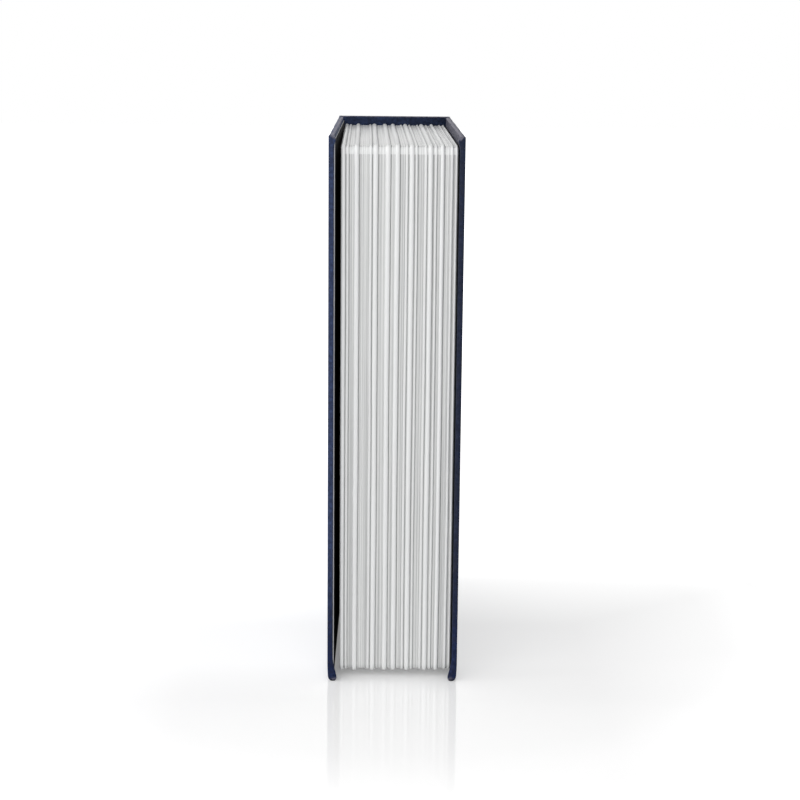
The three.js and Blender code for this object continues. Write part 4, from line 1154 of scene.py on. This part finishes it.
# %% [markdown]
# The sheet is white to its far edge, but a lit floor has a horizon of its own. So the floor
# glows a little where the camera or a mirror sees it, as the world does: less in front of the
# book, more behind and around it, and fully far away. It mirrors only near the book, and the
# strip of floor between the covers glows less, because the block shades it.

# %% Glow and polish of the floor
POLISH_START, POLISH_END, POLISH = 0.085, 0.2, 0.5
FRONT_GLOW, BEHIND_GLOW, AROUND_GLOW, FAR_GLOW, UNDER_SHADE = 0.24, 0.36, 0.24, 0.64, 0.13
apart = add(tree, "ShaderNodeSeparateXYZ", {"Vector": coords})
off_middle = calc(tree, "ABSOLUTE", apart.outputs["X"])
distance = add(tree, "ShaderNodeVectorMath", {0: coords}, operation="LENGTH")
# What it runs along, the metres where it starts and ends, and its values there
near_glow, past_spine, past_covers, gloss, far_glow, between_covers, under_block = (
    ramp(tree, along, start, end, first, last) for along, start, end, first, last in (
        (apart.outputs["Y"], -0.1, -0.055, FRONT_GLOW, BEHIND_GLOW),
        (apart.outputs["Y"], 0.0, 0.09, 0.0, 1.0),
        (off_middle, 0.09, 0.22, 0.0, 1.0),
        (distance, POLISH_START, POLISH_END, POLISH, 0.0),
        (distance, 0.16, 0.7, 0.0, FAR_GLOW),
        (off_middle, 0.031, 0.024, 0.0, 1.0),
        (apart.outputs["Y"], -0.1, -0.06, 0.0, UNDER_SHADE),
    )
)
print("the floor mirrors within", POLISH_END, "m and glows fully from 0.7 m")

# %% One glow, less the shade
SHADE_END_Y = 0.07
past_both = calc(tree, "MAXIMUM", past_spine, past_covers)
around_glow = calc(tree, "MULTIPLY", past_both, AROUND_GLOW)
middle_glow = ramp(tree, distance, POLISH_START, POLISH_END, near_glow, BEHIND_GLOW)
outer_glow = calc(tree, "ADD", around_glow, far_glow)
whole_glow = calc(tree, "ADD", middle_glow, outer_glow)
before_spine = calc(tree, "LESS_THAN", apart.outputs["Y"], SHADE_END_Y)
shade_inside = calc(tree, "MULTIPLY", between_covers, before_spine)
shade = calc(tree, "MULTIPLY", shade_inside, under_block)
net_glow = calc(tree, "SUBTRACT", whole_glow, shade)
rays = add(tree, "ShaderNodeLightPath")
seen = calc(tree, "MAXIMUM", rays.outputs["Is Camera Ray"], rays.outputs["Is Glossy Ray"])
glow = calc(tree, "MULTIPLY", seen, net_glow)
feed(shader, {
    "Specular IOR Level": gloss, "Emission Color": (1, 1, 1, 1), "Emission Strength": glow,
})
print("floor material takes", len(tree.nodes), "nodes")

# %% Lamps
# Name, place, target and size in metres, and radiance. The power follows from size and radiance
for name, place, target, size, radiance in (
    ("front_lamp", (-0.5, -1.35, 1.0), (0, -0.07, 0.2), (2.4, 2.1), 1.28),
    ("left_lamp", (-1.0, -0.1, 1.55), (0, 0, 0.1), (0.6, 0.6), 5.5),
):
    light = bpy.data.lights.new(name, "AREA")
    light.shape, light.size, light.size_y = "RECTANGLE", *size
    light.energy = radiance * math.pi * size[0] * size[1]
    lamp = in_scene(name, light)
    lamp.location = place
    lamp.rotation_euler = (Vector(target) - Vector(place)).to_track_quat("-Z", "Y").to_euler()
    print(name, "has", round(light.energy, 2), "W")

# %% [markdown]
# ## Sizes

# %% Sizes
import json
